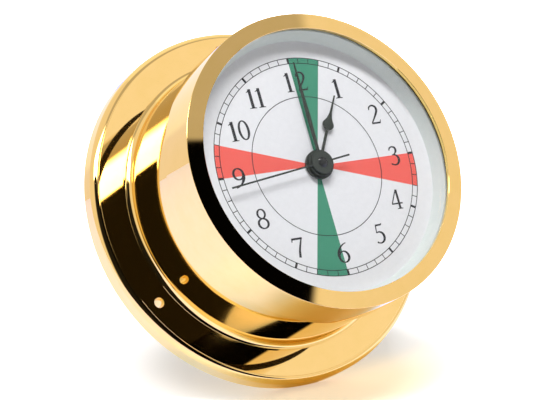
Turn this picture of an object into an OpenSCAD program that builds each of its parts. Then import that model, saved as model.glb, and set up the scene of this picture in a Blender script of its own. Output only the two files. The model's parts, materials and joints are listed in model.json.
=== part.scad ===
/* [Case] */
// Diameter of the mounting flange
flange_d = 120; // [118:1:150]
// Straight height of the flange's edge, from the wall to the start of its rounding
flange_edge_h = 5.0; // [3.6:0.1:8]
// Radius of the flange's rounded edge
flange_round = 2.2; // [1.6:0.1:3.2]
// Chamfer of the flange's rear edge
edge_chamfer = 0.6; // [0.2:0.1:1]
// Height of the fine step between the rounded edge and the flat face
fine_step = 0.2; // [0.1:0.05:0.4]
// Height of the step from the flat face to the foot of the neck
step_h = 0.9; // [0.4:0.1:2]
// Radius of the cove between the step and the neck
cove_r = 1.85; // [1:0.05:3]
// Height of the neck from the step to the bezel
neck_h = 27.7; // [22:0.1:36]
// Diameter of the bezel's straight band
band_d = 96.8; // [95:0.2:100]
// Distance that the bezel's band stands out over the neck
band_overhang = 1.1; // [0.7:0.1:1.5]
// Thickness of the case's wall
case_wall = 2.0; // [1.4:0.1:2.6]
// Thickness of the inner shelf that carries the spigot
shelf_t = 2.0; // [1.2:0.1:4]

/* [Mounting holes] */
// Number of screw holes in the flange
hole_count = 3; // [2:1:6]
// Diameter of each screw hole
hole_d = 3.4; // [2.4:0.1:4.4]
// Wall of the boss around each screw hole, behind the flange's face
hole_boss_wall = 1.8; // [1.2:0.1:2]

/* [Bezel and glass] */
// Height of the bezel from its joint with the case to the front of its lip
bezel_h = 16.8; // [16.5:0.1:26]
// Thickness of the bezel's band
bezel_wall = 2.1; // [1.6:0.1:2.4]
// Radius of the rounded front edge
bezel_round = 0.6; // [0.3:0.1:1.2]
// Height that the front face climbs from the band to the opening
bezel_face_rise = 0.9; // [0.3:0.1:1.1]
// Diameter of the opening in the lip
opening_d = 86.4; // [84.4:0.2:87.6]
// Thickness of the lip at the opening
lip_t = 1.2; // [1.1:0.1:2]
// Thickness of the glass
glass_t = 1.6; // [1.2:0.1:2.4]
// Thickness of the seal between lip and glass
seal_t = 0.3; // [0.2:0.05:0.6]
// Radial width of the seal
seal_w = 2.2; // [1.2:0.1:2.4]
// Height of the retainer ring behind the glass
retainer_h = 1.4; // [1:0.1:2]
// Radial width of the retainer ring
retainer_w = 1.8; // [1:0.1:1.9]
// Radial gap around the pieces that drop into the bezel
drop_in_gap = 0.05; // [0.02:0.01:0.12]

/* [Spigot and seal] */
// Radial gap between the bezel and the spigot it slides on
spigot_gap = 0.3; // [0.15:0.05:0.5]
// Thickness of the spigot's wall
spigot_wall = 3.3; // [3.2:0.1:3.8]
// Thickness of the bezel seal's ring
o_ring_t = 1.1; // [0.8:0.1:1.4]
// Gap left around the bezel seal
o_ring_gap = 0.05; // [0.02:0.01:0.1]
// Distance of the bezel seal in front of the joint
o_ring_rise = 3.6; // [1.6:0.1:3.6]

/* [Dial] */
// Thickness of the dial plate
dial_t = 0.8; // [0.5:0.1:1.5]
// Gap between the dial's edge and the bezel
dial_edge_gap = 0.6; // [0.4:0.1:1]
// Wall of the spacer ring
spacer_wall = 0.9; // [0.6:0.1:1]
// Radial flare of the spacer ring from dial to glass
spacer_flare = 1.0; // [0.4:0.1:1.1]
// Thickness of the spacer ring's front flange
spacer_flange_t = 0.7; // [0.4:0.1:1.2]
// Gap between the spacer ring's front flange and the retainer ring
spacer_gap = 0.3; // [0.2:0.05:0.5]
// Gap between the spacer ring and the glass
spacer_glass_gap = 0.2; // [0.1:0.05:0.4]
// Number of dial screws
dial_screw_count = 3; // [2:1:6]
// Diameter of the dial screws' thread
dial_screw_d = 1.6; // [1.2:0.1:1.8]
// Diameter of the dial screws' head
dial_screw_head_d = 3.0; // [2.4:0.1:3]
// Height of the dial screws' head
dial_screw_head_h = 1.0; // [0.6:0.1:1.4]
// Length of the dial screws' thread
dial_screw_l = 4.0; // [2.5:0.1:4]

/* [Hands] */
// Clock angle of the hour hand at rest, from twelve
hour_angle = 30; // [0:1:359]
// Clock angle of the minute hand at rest, from twelve
minute_angle = 0.6; // [0:0.1:359]
// Clock angle of the second hand at rest, from twelve
second_angle = 263; // [0:1:359]
// Length of the hour hand
hour_hand_l = 24.9; // [22:0.1:30]
// Distance of the hour hand's drop from the centre
hour_drop_at = 14.2; // [12:0.1:16]
// Width of the hour hand's drop
hour_drop_w = 4.0; // [3:0.1:5]
// Width of the hour hand's stem
hour_stem_w = 0.9; // [0.7:0.05:1.3]
// Width of the hour hand's tip
hour_tip_w = 0.45; // [0.3:0.05:0.6]
// Length of the minute hand
minute_hand_l = 33.7; // [30:0.1:38]
// Widest place of the minute hand, from the centre
minute_wide_at = 16; // [10:0.5:22]
// Greatest width of the minute hand
minute_wide_w = 1.4; // [1:0.05:2]
// Width of the minute hand at its boss
minute_root_w = 0.9; // [0.6:0.05:1.2]
// Width of the minute hand's tip
minute_tip_w = 0.4; // [0.3:0.05:0.6]
// Length of the second hand
second_hand_l = 34.3; // [30:0.1:38]
// Length of the second hand's tail
second_tail_l = 10.4; // [8:0.1:14]
// Width of the second hand
second_hand_w = 0.55; // [0.4:0.05:0.9]
// Thickness of the hands' sheet
hand_t = 0.35; // [0.2:0.05:0.5]
// Diameter of the round boss plates and of the cap
boss_d = 8.8; // [7.6:0.1:11]
// Height of the hour hand above the dial
hour_lift = 0.7; // [0.6:0.1:1.2]
// Height of the sleeves that grip the tubes, with the sheet
sleeve_h = 0.9; // [0.7:0.1:1.2]
// Free height between one hand and the next
hand_gap = 0.3; // [0.2:0.05:0.5]
// Height of the second hand's cap above its sheet
cap_h = 0.65; // [0.4:0.05:1]
// Free height between the cap and the glass
cap_glass_gap = 0.6; // [0.4:0.1:1.5]

/* [Centre shafts] */
// Diameter of the seconds arbor
second_arbor_d = 1.0; // [0.8:0.05:1.1]
// Wall of the minute tube
minute_tube_wall = 1.15; // [0.8:0.05:1.3]
// Wall of the hour tube
hour_tube_wall = 0.8; // [0.5:0.05:1]
// Wall of the centre post
post_wall = 0.7; // [0.5:0.05:1]
// Height of the centre post above the dial
post_stand = 0.4; // [0.1:0.1:0.5]
// Radial running clearance of every arbor and tube
run = 0.05; // [0.02:0.01:0.08]
// Radial clearance of the hands on their tubes
grip = 0.01; // [0.005:0.005:0.02]

/* [Wheel train] */
// Tooth module of the running train
train_module = 0.2; // [0.18:0.01:0.22]
// Tooth module of the hour wheel
motion_module = 0.3; // [0.28:0.01:0.34]
// Share of a tooth's thickness left as play
tooth_play = 0.24; // [0.15:0.01:0.4]
// Thickness of a wheel's toothed rim
wheel_t = 0.8; // [0.6:0.05:0.9]
// Free height between two wheels
layer_gap = 0.4; // [0.3:0.05:0.6]
// Diameter of the train's plain arbors
arbor_d = 0.8; // [0.6:0.05:0.9]
// Depth of a pivot in its hole
pivot_l = 0.7; // [0.5:0.05:0.9]
// Wall around a pivot hole
pivot_wall = 0.8; // [0.6:0.05:1]
// Thickness of the train bridge
bridge_t = 1.0; // [0.8:0.1:1.2]
// Diameter of the bridge screw
bridge_screw_d = 1.6; // [1.2:0.1:2]
// Diameter of the setting arbor
setting_arbor_d = 1.2; // [1:0.05:1.3]
// Diameter of the setting knob
knob_d = 10; // [8:0.5:14]
// Height of the setting knob
knob_h = 3; // [2:0.1:4]
// Gap between the setting knob and the cover
knob_gap = 0.8; // [0.4:0.1:1.5]
// Number of grip flutes around the setting knob
knob_flutes = 16; // [8:1:24]

/* [Step motor] */
// Diameter of the rotor's magnet
magnet_d = 5.0; // [4:0.1:5.4]
// Height of the rotor's magnet
magnet_h = 1.6; // [1.2:0.1:1.8]
// Air gap between magnet and stator
air_gap = 0.5; // [0.3:0.05:0.6]
// Thickness of the stator plate
stator_t = 0.8; // [0.6:0.1:1]
// Narrowest iron beside the rotor's hole
stator_neck = 0.5; // [0.3:0.05:0.8]
// Width of the stator's legs
stator_leg_w = 3.5; // [3:0.1:4.5]
// Length of the coil's winding
coil_l = 19; // [16:0.5:21]
// Diameter of the coil's winding
coil_d = 6.8; // [5:0.1:7.4]
// Thickness of the coil's end flanges
coil_flange_t = 0.8; // [0.5:0.1:1.2]
// Height of the coil's end flanges above the winding
coil_flange_rise = 0.8; // [0.4:0.1:1.2]
// Gap between the coil's end flanges and the stator's legs
coil_end_gap = 0.4; // [0.2:0.1:0.8]
// Thickness of the coil's core
core_t = 0.8; // [0.6:0.1:1.2]
// Width of the coil's core
core_w = 3.0; // [2:0.1:3.6]

/* [Battery] */
// Diameter of the battery
battery_d = 14.5; // [14:0.1:15]
// Length of the battery over its contact cap
battery_l = 50.5; // [48:0.1:51]
// Diameter of the battery's contact cap
battery_cap_d = 5.4; // [4:0.1:6]
// Height of the battery's contact cap
battery_cap_h = 1.0; // [0.6:0.1:1.5]
// Free play around the battery in its bay
battery_play = 0.3; // [0.2:0.05:0.6]
// Thickness of the contacts' sheet
contact_t = 0.4; // [0.3:0.05:0.6]
// Width of the contacts
contact_w = 9; // [6:0.5:12]
// Height of the negative contact's bulge
contact_bulge = 1.5; // [1:0.1:2]
// Gap between each contact and the battery
contact_gap = 0.1; // [0.05:0.05:0.3]

/* [Movement case] */
// Thickness of the movement's side walls
mov_wall = 1.4; // [1:0.1:1.8]
// Thickness of the movement's front wall
mov_front_t = 1.6; // [1.2:0.1:2]
// Thickness of the movement's cover
cover_t = 1.6; // [1.2:0.1:2]
// Radius of the movement's corners
mov_corner = 4; // [3:0.5:6]
// Thickness of the wall between battery bay and train
bay_wall = 1.0; // [0.8:0.1:1.4]
// Gap between the movement's front and the dial
mov_dial_gap = 1.0; // [0.6:0.1:2]
// Diameter of the screw bosses inside the movement
boss_post_d = 4.4; // [3.6:0.1:5]
// Diameter of the movement's small screws
small_screw_d = 1.9; // [1.6:0.1:2.2]
// Diameter of the movement's small screw heads
small_head_d = 3.8; // [3:0.1:4.4]
// Height of the movement's small screw heads
small_head_h = 1.2; // [0.8:0.1:1.6]
// Length of the movement's small screws in their bosses
small_screw_l = 4.2; // [3:0.1:5]
// Reach of the fixing lugs from the movement's side to their screw
lug_reach = 3.6; // [3:0.1:5]
// Width of the fixing lugs
lug_w = 7; // [5.5:0.1:9]
// Thickness of the fixing lugs
lug_t = 2; // [1.4:0.1:3]
// Height of the lugs' screws above and below the centre
lug_at = 14; // [10:0.5:18]
// Length of the dial feet
foot_l = 4; // [3.4:0.1:5]
// Diameter of the dial feet
foot_d = 4.4; // [3.4:0.1:5]
// Clearance around a screw that passes through a piece
screw_play = 0.15; // [0.1:0.05:0.3]
// Clearance around a screw in its thread
thread_play = 0.05; // [0.02:0.01:0.1]

/* [Circuit board] */
// Width of the circuit board
board_w = 11; // [9:0.5:11]
// Height of the circuit board
board_h = 13; // [10:0.5:13]
// Thickness of the circuit board
board_t = 0.8; // [0.6:0.1:1.2]
// Diameter of the pegs that carry the board and the stator
peg_d = 3.0; // [2.4:0.1:3.4]
// Side of the chip
chip_w = 4.6; // [3:0.2:5]
// Height of the chip
chip_h = 1.0; // [0.6:0.1:1.4]
// Diameter of the quartz crystal's can
crystal_d = 2.0; // [1.6:0.1:2.4]
// Length of the quartz crystal's can
crystal_l = 6.0; // [5:0.1:8]

/* [Hidden] */
$fn = 96;

// Small overlap that carries a cut past a face
eps = 0.1;

// Heights are measured from the wall towards the viewer
flange_r = flange_d / 2;
flange_rim_in_r = flange_r - case_wall;
round_in_r = flange_r - flange_round;
round_top = flange_edge_h + flange_round;
face_z = round_top + fine_step;
face_back = face_z - case_wall;
band_r = band_d / 2;
neck_r = band_r - band_overhang;
neck_in_r = neck_r - case_wall;
step_r = neck_r + cove_r;
step_top = face_z + step_h;
cove_top = step_top + cove_r;
joint_z = step_top + neck_h;
hole_r = hole_d / 2;
hole_circle_r = (round_in_r + step_r) / 2;
hole_boss_r = hole_r + hole_boss_wall;

// Bezel, glass and dial, from the lip backwards
lip_z = joint_z + bezel_h;
lip_back = lip_z - lip_t;
bezel_in_r = band_r - bezel_wall;
opening_r = opening_d / 2;
drop_in_r = bezel_in_r - drop_in_gap;
glass_front = lip_back - seal_t;
glass_back = glass_front - glass_t;
retainer_in_r = drop_in_r - retainer_w;
sleeve_free = sleeve_h - hand_t;
hand_pitch = hand_t + sleeve_free + hand_gap;
hour_z = hour_lift;
minute_z = hour_z + hand_pitch;
second_z = minute_z + hand_pitch;
cap_top = second_z + hand_t + cap_h;
dial_z = glass_back - cap_glass_gap - cap_top;
dial_back = dial_z - dial_t;

// Spigot and its seal
spigot_r = bezel_in_r - spigot_gap;
spigot_in_r = spigot_r - spigot_wall;
o_ring_z = joint_z + o_ring_rise;
o_ring_mid_r = bezel_in_r - o_ring_gap - o_ring_t / 2;
groove_r = o_ring_mid_r - o_ring_t / 2 - o_ring_gap;
groove_half = o_ring_t / 2 + 2 * o_ring_gap;
dial_r = bezel_in_r - dial_edge_gap;
spacer_front = glass_back - spacer_glass_gap;
spacer_h = spacer_front - spacer_flange_t - dial_z;
spacer_flange_r = retainer_in_r - spacer_gap;
dial_screw_r = dial_screw_d / 2;
dial_screw_circle_r = bezel_in_r - dial_edge_gap / 2 - dial_screw_head_d / 2;

// The spacer ring stands clear of the dial screws' heads, although it leans towards them
spacer_lean = spacer_flare * dial_screw_head_h / spacer_h;
spacer_foot_r = dial_screw_circle_r - dial_screw_head_d / 2 - screw_play - spacer_lean - spacer_wall;

// Centre shafts
second_arbor_r = second_arbor_d / 2;
minute_bore_r = second_arbor_r + run;
minute_tube_r = minute_bore_r + minute_tube_wall;
hour_bore_r = minute_tube_r + run;
hour_tube_r = hour_bore_r + hour_tube_wall;
post_bore_r = hour_tube_r + run;
post_r = post_bore_r + post_wall;
post_top = dial_z + post_stand;
hour_tube_top = dial_z + hour_z + sleeve_h;
minute_tube_top = dial_z + minute_z + sleeve_h;
arbor_top = dial_z + second_z + hand_t + cap_h / 2;
boss_r = boss_d / 2;

// Teeth of the running train and of the setting train
rotor_teeth = 8;
intermediate_teeth = 48;
intermediate_pinion_teeth = 12;
seconds_teeth = 60;
seconds_pinion_teeth = 8;
third_teeth = 60;
third_pinion_teeth = 8;
centre_teeth = 64;
cannon_teeth = 10;
motion_teeth = 30;
motion_pinion_teeth = 10;
hour_teeth = 40;
tooth_head = 0.8;
tooth_foot = 1.1;
tooth_slope = 20;

// Centre distances, and the modules of the pairs that share them
third_distance = train_module * (seconds_pinion_teeth + third_teeth) / 2;
centre_module = 2 * third_distance / (third_pinion_teeth + centre_teeth);
intermediate_distance = train_module * (intermediate_pinion_teeth + seconds_teeth) / 2;
rotor_distance = train_module * (rotor_teeth + intermediate_teeth) / 2;
motion_distance = motion_module * (motion_pinion_teeth + hour_teeth) / 2;
cannon_module = 2 * motion_distance / (cannon_teeth + motion_teeth);

// Where the arbors stand round the centre, in degrees from the right hand side
third_dir = 30;
intermediate_dir = 90;
rotor_dir = 60;
motion_dir = 180;
third_at = third_distance * [cos(third_dir), sin(third_dir)];
intermediate_at = intermediate_distance * [cos(intermediate_dir), sin(intermediate_dir)];
rotor_at = intermediate_at + rotor_distance * [cos(rotor_dir), sin(rotor_dir)];
motion_at = motion_distance * [cos(motion_dir), sin(motion_dir)];

// Layers of the train, from the movement's front wall backwards
mov_front = dial_back - mov_dial_gap;
mov_inside = mov_front - mov_front_t;
hour_wheel_front = mov_inside - layer_gap;
hour_wheel_back = hour_wheel_front - wheel_t;
motion_front = hour_wheel_back - layer_gap;
motion_back = motion_front - wheel_t;
cannon_front = motion_front + layer_gap / 2;
cannon_back = motion_back - layer_gap / 2;
bridge_front = motion_front;
bridge_back = bridge_front - bridge_t;
centre_front = min(cannon_back, bridge_back) - layer_gap;
centre_back = centre_front - wheel_t;
clutch_t = layer_gap;
clutch_front = centre_back - 2 * run;
cannon_end = clutch_front - clutch_t;
third_front = cannon_end - layer_gap;
third_back = third_front - wheel_t;
seconds_front = third_back - layer_gap;
seconds_back = seconds_front - wheel_t;
seconds_pinion_front = third_front + layer_gap / 2;
intermediate_pinion_front = seconds_front + layer_gap / 2;
stator_mid = seconds_back + stator_t / 2;
stator_front = stator_mid + stator_t / 2;
stator_back = stator_mid - stator_t / 2;
magnet_front = stator_mid + magnet_h / 2;
magnet_back = stator_mid - magnet_h / 2;
intermediate_front = magnet_back - layer_gap / 2;
intermediate_back = intermediate_front - wheel_t;
rotor_pinion_back = intermediate_back - layer_gap / 2;
train_depth = mov_inside - rotor_pinion_back + layer_gap;
tail_r = minute_bore_r + minute_tube_wall / 2;
arbor_r = arbor_d / 2;
setting_arbor_r = setting_arbor_d / 2;

// Movement case, sized by the battery it holds
battery_r = battery_d / 2;
bay_depth = battery_d + 2 * battery_play;
mov_depth = max(bay_depth, train_depth + cover_t + pivot_l);
mov_back = mov_inside - mov_depth;
cover_inside = mov_back + cover_t;
bay_l = battery_l + 2 * contact_gap + 2 * contact_t + contact_bulge;
mov_w = bay_l + 2 * mov_wall;
mov_half = mov_w / 2;
bay_half = bay_l / 2;
bay_low = mov_wall - mov_half;
bay_high = bay_low + battery_d + 2 * battery_play;
battery_y = (bay_low + bay_high) / 2;
battery_z = mov_inside - battery_play - battery_r;
battery_minus_end = contact_t + contact_bulge + contact_gap - bay_half;
pivot_back = cover_inside - pivot_l;
knob_front = mov_back - knob_gap;
knob_back = knob_front - knob_h;

// Screws, lugs and feet; the posts stand a little into the walls beside them
boss_post_r = boss_post_d / 2;
small_screw_r = small_screw_d / 2;
post_sink = bay_wall / 2;
cover_post_x = mov_half - mov_wall - boss_post_r + post_sink;
cover_post_y = [cover_post_x, bay_high + bay_wall + boss_post_r - post_sink];
cover_posts = [for (x = [-1, 1], y = cover_post_y) [x * cover_post_x, y]];
lug_x = mov_half + lug_reach;
lug_front = dial_back - foot_l;
lug_back = lug_front - lug_t;
lugs = [for (x = [-1, 1], y = [-1, 1]) [x * lug_x, y * lug_at]];

// Step motor and circuit board
stator_hole_r = magnet_d / 2 + air_gap;
stator_notch_r = (intermediate_pinion_teeth / 2 + 1) * train_module + layer_gap;
stator_low = rotor_at[1] - stator_hole_r - stator_neck;
stator_high = rotor_at[1] + stator_hole_r + stator_neck;
coil_flange_r = coil_d / 2 + coil_flange_rise;
coil_half = coil_l / 2 + coil_flange_t;
leg_in = coil_half + coil_end_gap;
leg_out = leg_in + stator_leg_w;
coil_y = stator_high + layer_gap + coil_flange_r;
leg_top = coil_y + core_w / 2;
core_mid = stator_front + core_t / 2;
peg_r = peg_d / 2;
stator_pegs = [for (x = [-1, 1]) [rotor_at[0] + x * (leg_in + leg_out) / 2, rotor_at[1]]];
board_right = rotor_at[0] - leg_out - layer_gap * 2;
board_top = cover_post_y[0] - boss_post_r - layer_gap;
board_mid = [board_right - board_w / 2, board_top - board_h / 2];
board_front = stator_back;
board_back = board_front - board_t;
board_pegs = [for (y = [-1, 1]) board_mid + [0, y * (board_h / 2 - peg_r)]];
bridge_post_at = [rotor_at[0] + rotor_distance + boss_post_r, rotor_at[1] - boss_post_r];
bridge_post_r = boss_post_r;
bridge_arm_w = arbor_d + 2 * pivot_wall;

// Turns a piece drawn with the dial in its XY plane to face the viewer
module facing() {
  rotate([90, 0, 0]) children();
}

module at(place, z) {
  translate([place[0], place[1], z]) children();
}

// A round bar between two heights
module bar(r, z0, z1) {
  translate([0, 0, z0]) cylinder(r = r, h = z1 - z0);
}

// A round tube between two heights
module tube(r, bore, z0, z1) {
  difference() {
    bar(r, z0, z1);
    bar(bore, z0 - eps, z1 + eps);
  }
}

function polar(r, a) = r * [cos(a), sin(a)];

// Outline of a toothed wheel, with one tooth pointing along the direction dir
function teeth_outline(teeth, pitch_module, dir) =
  let (
    pitch_r = teeth * pitch_module / 2,
    tip_r = pitch_r + tooth_head * pitch_module,
    root_r = pitch_r - tooth_foot * pitch_module,
    half = 90 / teeth * (1 - tooth_play),
    tip_half = half * pitch_r / tip_r - tooth_head * pitch_module * tan(tooth_slope) / tip_r * 180 / PI
  )
  [
    for (k = [0 : teeth - 1])
      let (a = dir + 360 * k / teeth)
        each [
          polar(root_r, a - half), polar(tip_r, a - tip_half), polar(tip_r, a + tip_half), polar(root_r, a + half)
        ]
  ];

module toothed(teeth, pitch_module, dir, z0, z1) {
  translate([0, 0, z0]) linear_extrude(z1 - z0) polygon(teeth_outline(teeth, pitch_module, dir));
}

// A wheel that meets the tooth of its mate, which lies in the direction dir
module meeting(teeth, pitch_module, dir, z0, z1) {
  toothed(teeth, pitch_module, dir + 180 / teeth, z0, z1);
}

// A slotted screw with its head at z = 0 and its thread along +Z
module screw(head_d, head_h, thread_d, thread_l) {
  slot_w = head_d / 5;
  difference() {
    union() {
      translate([0, 0, -head_h]) cylinder(d = head_d, h = head_h);
      cylinder(d = thread_d, h = thread_l);
    }
    translate([-head_d, -slot_w / 2, -head_h - eps]) cube([2 * head_d, slot_w, head_h / 2 + eps]);
  }
}

// Outline of a square with round corners
module rounded_square(w, corner) {
  half = w / 2 - corner;
  union() {
    square([w, w - 2 * corner], center = true);
    square([w - 2 * corner, w], center = true);
    for (x = [-half, half], y = [-half, half]) translate([x, y]) circle(corner);
  }
}

module plate(w, corner, z0, z1) {
  translate([0, 0, z0]) linear_extrude(z1 - z0) rounded_square(w, corner);
}

// Section of the case from flange to spigot, with radius along X and height along Y
module case_section() {
  shelf_back = joint_z - shelf_t;
  union() {
    difference() {
      polygon([
        [flange_rim_in_r, 0],
        [flange_r - edge_chamfer, 0],
        [flange_r, edge_chamfer],
        [flange_r, flange_edge_h],
        [round_in_r, round_top],
        [round_in_r, face_z],
        [step_r, face_z],
        [step_r, cove_top],
        [neck_r, cove_top],
        [neck_r, joint_z],
        [spigot_r, joint_z],
        [spigot_r, o_ring_z - groove_half],
        [groove_r, o_ring_z - groove_half],
        [groove_r, o_ring_z + groove_half],
        [spigot_r, o_ring_z + groove_half],
        [spigot_r, dial_back],
        [spigot_in_r, dial_back],
        [spigot_in_r, shelf_back],
        [neck_in_r, shelf_back],
        [neck_in_r, face_back],
        [flange_rim_in_r, face_back]
      ]);
      translate([step_r, cove_top]) circle(cove_r);
    }
    translate([round_in_r, flange_edge_h]) intersection() {
      circle(flange_round);
      square(flange_round);
    }
  }
}

// Places its children at each screw hole of the flange
module at_holes() {
  for (k = [0 : hole_count - 1]) at(polar(hole_circle_r, 90 + 360 * k / hole_count), 0) children();
}

module case_body() {
  color("#D9AE5A") facing() difference() {
    union() {
      rotate_extrude() case_section();
      at_holes() bar(hole_boss_r, 0, face_z - case_wall / 2);
    }
    at_holes() bar(hole_r, -eps, face_z + eps);
    for (k = [0 : dial_screw_count - 1])
      at(polar(dial_screw_circle_r, 30 + 360 * k / dial_screw_count), 0)
        bar(dial_screw_r + thread_play, dial_z - dial_screw_l - screw_play, dial_z);
  }
}

module bezel_seal() {
  color("#1C1C1C") facing()
    rotate_extrude() translate([o_ring_mid_r, o_ring_z]) circle(d = o_ring_t);
}

module bezel() {
  face_edge = lip_z - bezel_face_rise;
  color("#DDB363") facing() rotate_extrude() union() {
    polygon([
      [bezel_in_r, joint_z],
      [band_r, joint_z],
      [band_r, face_edge - bezel_round],
      [band_r - bezel_round, face_edge],
      [opening_r, lip_z],
      [opening_r, lip_back],
      [bezel_in_r, lip_back]
    ]);
    translate([band_r - bezel_round, face_edge - bezel_round]) circle(bezel_round);
  }
}

module glass() {
  color("#DCE6E8", 0.35) facing() bar(drop_in_r, glass_back, glass_front);
}

module glass_seal() {
  color("#D8D8D4") facing() tube(drop_in_r, drop_in_r - seal_w, glass_front, lip_back);
}

module glass_retainer() {
  color("#C9A45A") facing() tube(drop_in_r, retainer_in_r, glass_back - retainer_h, glass_back);
}

module spacer_ring() {
  top_r = spacer_foot_r + spacer_flare;
  flange_back = spacer_front - spacer_flange_t;
  color("#F2F3F4") facing() rotate_extrude() polygon([
    [spacer_foot_r, dial_z],
    [spacer_foot_r + spacer_wall, dial_z],
    [top_r + spacer_wall, flange_back],
    [max(spacer_flange_r, top_r + spacer_wall), flange_back],
    [max(spacer_flange_r, top_r + spacer_wall), spacer_front],
    [top_r, spacer_front]
  ]);
}

module dial() {
  color("#ECEDF1") facing() difference() {
    bar(dial_r, dial_back, dial_z);
    bar(post_r + screw_play, dial_back - eps, dial_z + eps);
    for (k = [0 : dial_screw_count - 1])
      at(polar(dial_screw_circle_r, 30 + 360 * k / dial_screw_count), 0)
        bar(dial_screw_r + screw_play, dial_back - eps, dial_z + eps);
  }
}

module dial_feet() {
  color("#C9A45A") facing() for (place = lugs) at(place, 0)
    tube(foot_d / 2, small_screw_r + thread_play, lug_front, dial_back);
}

module dial_screws() {
  color("#C8C8C8") facing() for (k = [0 : dial_screw_count - 1])
    at(polar(dial_screw_circle_r, 30 + 360 * k / dial_screw_count), dial_z)
      mirror([0, 0, 1]) screw(dial_screw_head_d, dial_screw_head_h, dial_screw_d, dial_screw_l);
}

// A hand's sheet with its round boss plate and the sleeve that grips a tube, pointing to twelve
module hand(z, sleeve_r, bore_r) {
  difference() {
    union() {
      translate([0, 0, z]) linear_extrude(hand_t) union() {
        circle(boss_r);
        children();
      }
      bar(sleeve_r, z, z + sleeve_h);
    }
    bar(bore_r, z - eps, z + sleeve_h + eps);
  }
}

module hour_hand() {
  drop_r = hour_drop_w / 2;
  color("#2B2B2B") facing() rotate([0, 0, -hour_angle])
    hand(dial_z + hour_z, hour_tube_r + grip + hour_tube_wall, hour_tube_r + grip) union() {
      translate([-hour_stem_w / 2, 0]) square([hour_stem_w, hour_drop_at]);
      translate([0, hour_drop_at]) circle(drop_r);
      polygon([
        [-drop_r * cos(30), hour_drop_at + drop_r * sin(30)],
        [-hour_tip_w, hour_drop_at + 2.4 * drop_r],
        [-hour_tip_w / 2, hour_hand_l],
        [hour_tip_w / 2, hour_hand_l],
        [hour_tip_w, hour_drop_at + 2.4 * drop_r],
        [drop_r * cos(30), hour_drop_at + drop_r * sin(30)]
      ]);
    }
}

module minute_hand() {
  color("#2B2B2B") facing() rotate([0, 0, -minute_angle])
    hand(dial_z + minute_z, minute_tube_r + grip + hour_tube_wall, minute_tube_r + grip) polygon([
      [-minute_root_w / 2, 0],
      [-minute_wide_w / 2, minute_wide_at],
      [-minute_tip_w / 2, minute_hand_l],
      [minute_tip_w / 2, minute_hand_l],
      [minute_wide_w / 2, minute_wide_at],
      [minute_root_w / 2, 0]
    ]);
}

module second_hand() {
  z = dial_z + second_z;
  color("#2B2B2B") facing() rotate([0, 0, -second_angle]) difference() {
    union() {
      translate([0, 0, z]) linear_extrude(hand_t) union() {
        translate([-second_hand_w / 2, -second_tail_l]) square([second_hand_w, second_tail_l + second_hand_l]);
      }
      bar(boss_r, z, dial_z + cap_top);
    }
    bar(second_arbor_r + grip, z - eps, arbor_top + grip);
  }
}

// Front wall, side walls and bay of the movement, with everything that is moulded on it
module movement_shell() {
  difference() {
    union() {
      difference() {
        plate(mov_w, mov_corner, cover_inside, mov_front);
        plate(mov_w - 2 * mov_wall, mov_corner - mov_wall, cover_inside - eps, mov_inside);
      }
      translate([-bay_half, bay_high, cover_inside]) cube([bay_l, bay_wall, mov_inside - cover_inside]);
      bar(post_r, mov_inside, post_top);
      for (place = cover_posts) at(place, 0) bar(boss_post_r, cover_inside, mov_inside);
      for (place = stator_pegs) at(place, 0) bar(peg_r, stator_front, mov_inside);
      for (place = board_pegs) at(place, 0) bar(peg_r, board_front, mov_inside);
      at(bridge_post_at, 0) bar(bridge_post_r, bridge_front, mov_inside);
      at(rotor_at, 0) bar(arbor_r + pivot_wall, magnet_front + layer_gap, mov_inside);
      for (place = lugs) at(place, 0) bar(lug_w / 2, lug_back, lug_front);
      for (x = [-1, 1], y = [-1, 1])
        translate([x * (mov_half + lug_reach / 2), y * lug_at, (lug_back + lug_front) / 2])
          cube([lug_reach, lug_w, lug_t], center = true);
    }
    bar(post_bore_r, mov_inside - eps, post_top + eps);
    for (place = lugs) at(place, 0) bar(small_screw_r + screw_play, lug_back - eps, lug_front + eps);
    for (place = cover_posts) at(place, 0)
      bar(small_screw_r + thread_play, cover_inside - eps, cover_inside + small_screw_l + screw_play);
    at(bridge_post_at, 0) bar(bridge_screw_d / 2 + thread_play, bridge_front - eps, mov_inside);
    at(rotor_at, 0) bar(arbor_r + run, magnet_front, magnet_front + layer_gap + pivot_l + run);
    at(motion_at, 0) bar(arbor_r + run, mov_inside - eps, mov_inside + pivot_l + run);
  }
}

module movement_case() {
  color("#2E2E30") facing() movement_shell();
}

module movement_cover() {
  color("#3A3A3C") facing() difference() {
    plate(mov_w, mov_corner, mov_back, cover_inside);
    translate([-bay_half, bay_low, mov_back - eps]) cube([bay_l, bay_high - bay_low, cover_t + 2 * eps]);
    for (place = cover_posts) at(place, 0) bar(small_screw_r + screw_play, mov_back - eps, cover_inside + eps);
    for (place = [third_at, intermediate_at, rotor_at]) at(place, 0) bar(arbor_r + run, pivot_back - run, mov_inside);
    bar(second_arbor_r + run, pivot_back - run, mov_inside);
    at(motion_at, 0) bar(setting_arbor_r + run, mov_back - eps, mov_inside);
  }
}

module cover_screws() {
  color("#C8C8C8") facing() for (place = cover_posts)
    at(place, mov_back) screw(small_head_d, small_head_h, small_screw_d, cover_t + small_screw_l);
}

module movement_screws() {
  color("#C8C8C8") facing() for (place = lugs)
    at(place, lug_back) screw(small_head_d, small_head_h, small_screw_d, lug_t + foot_l - screw_play);
}

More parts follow.
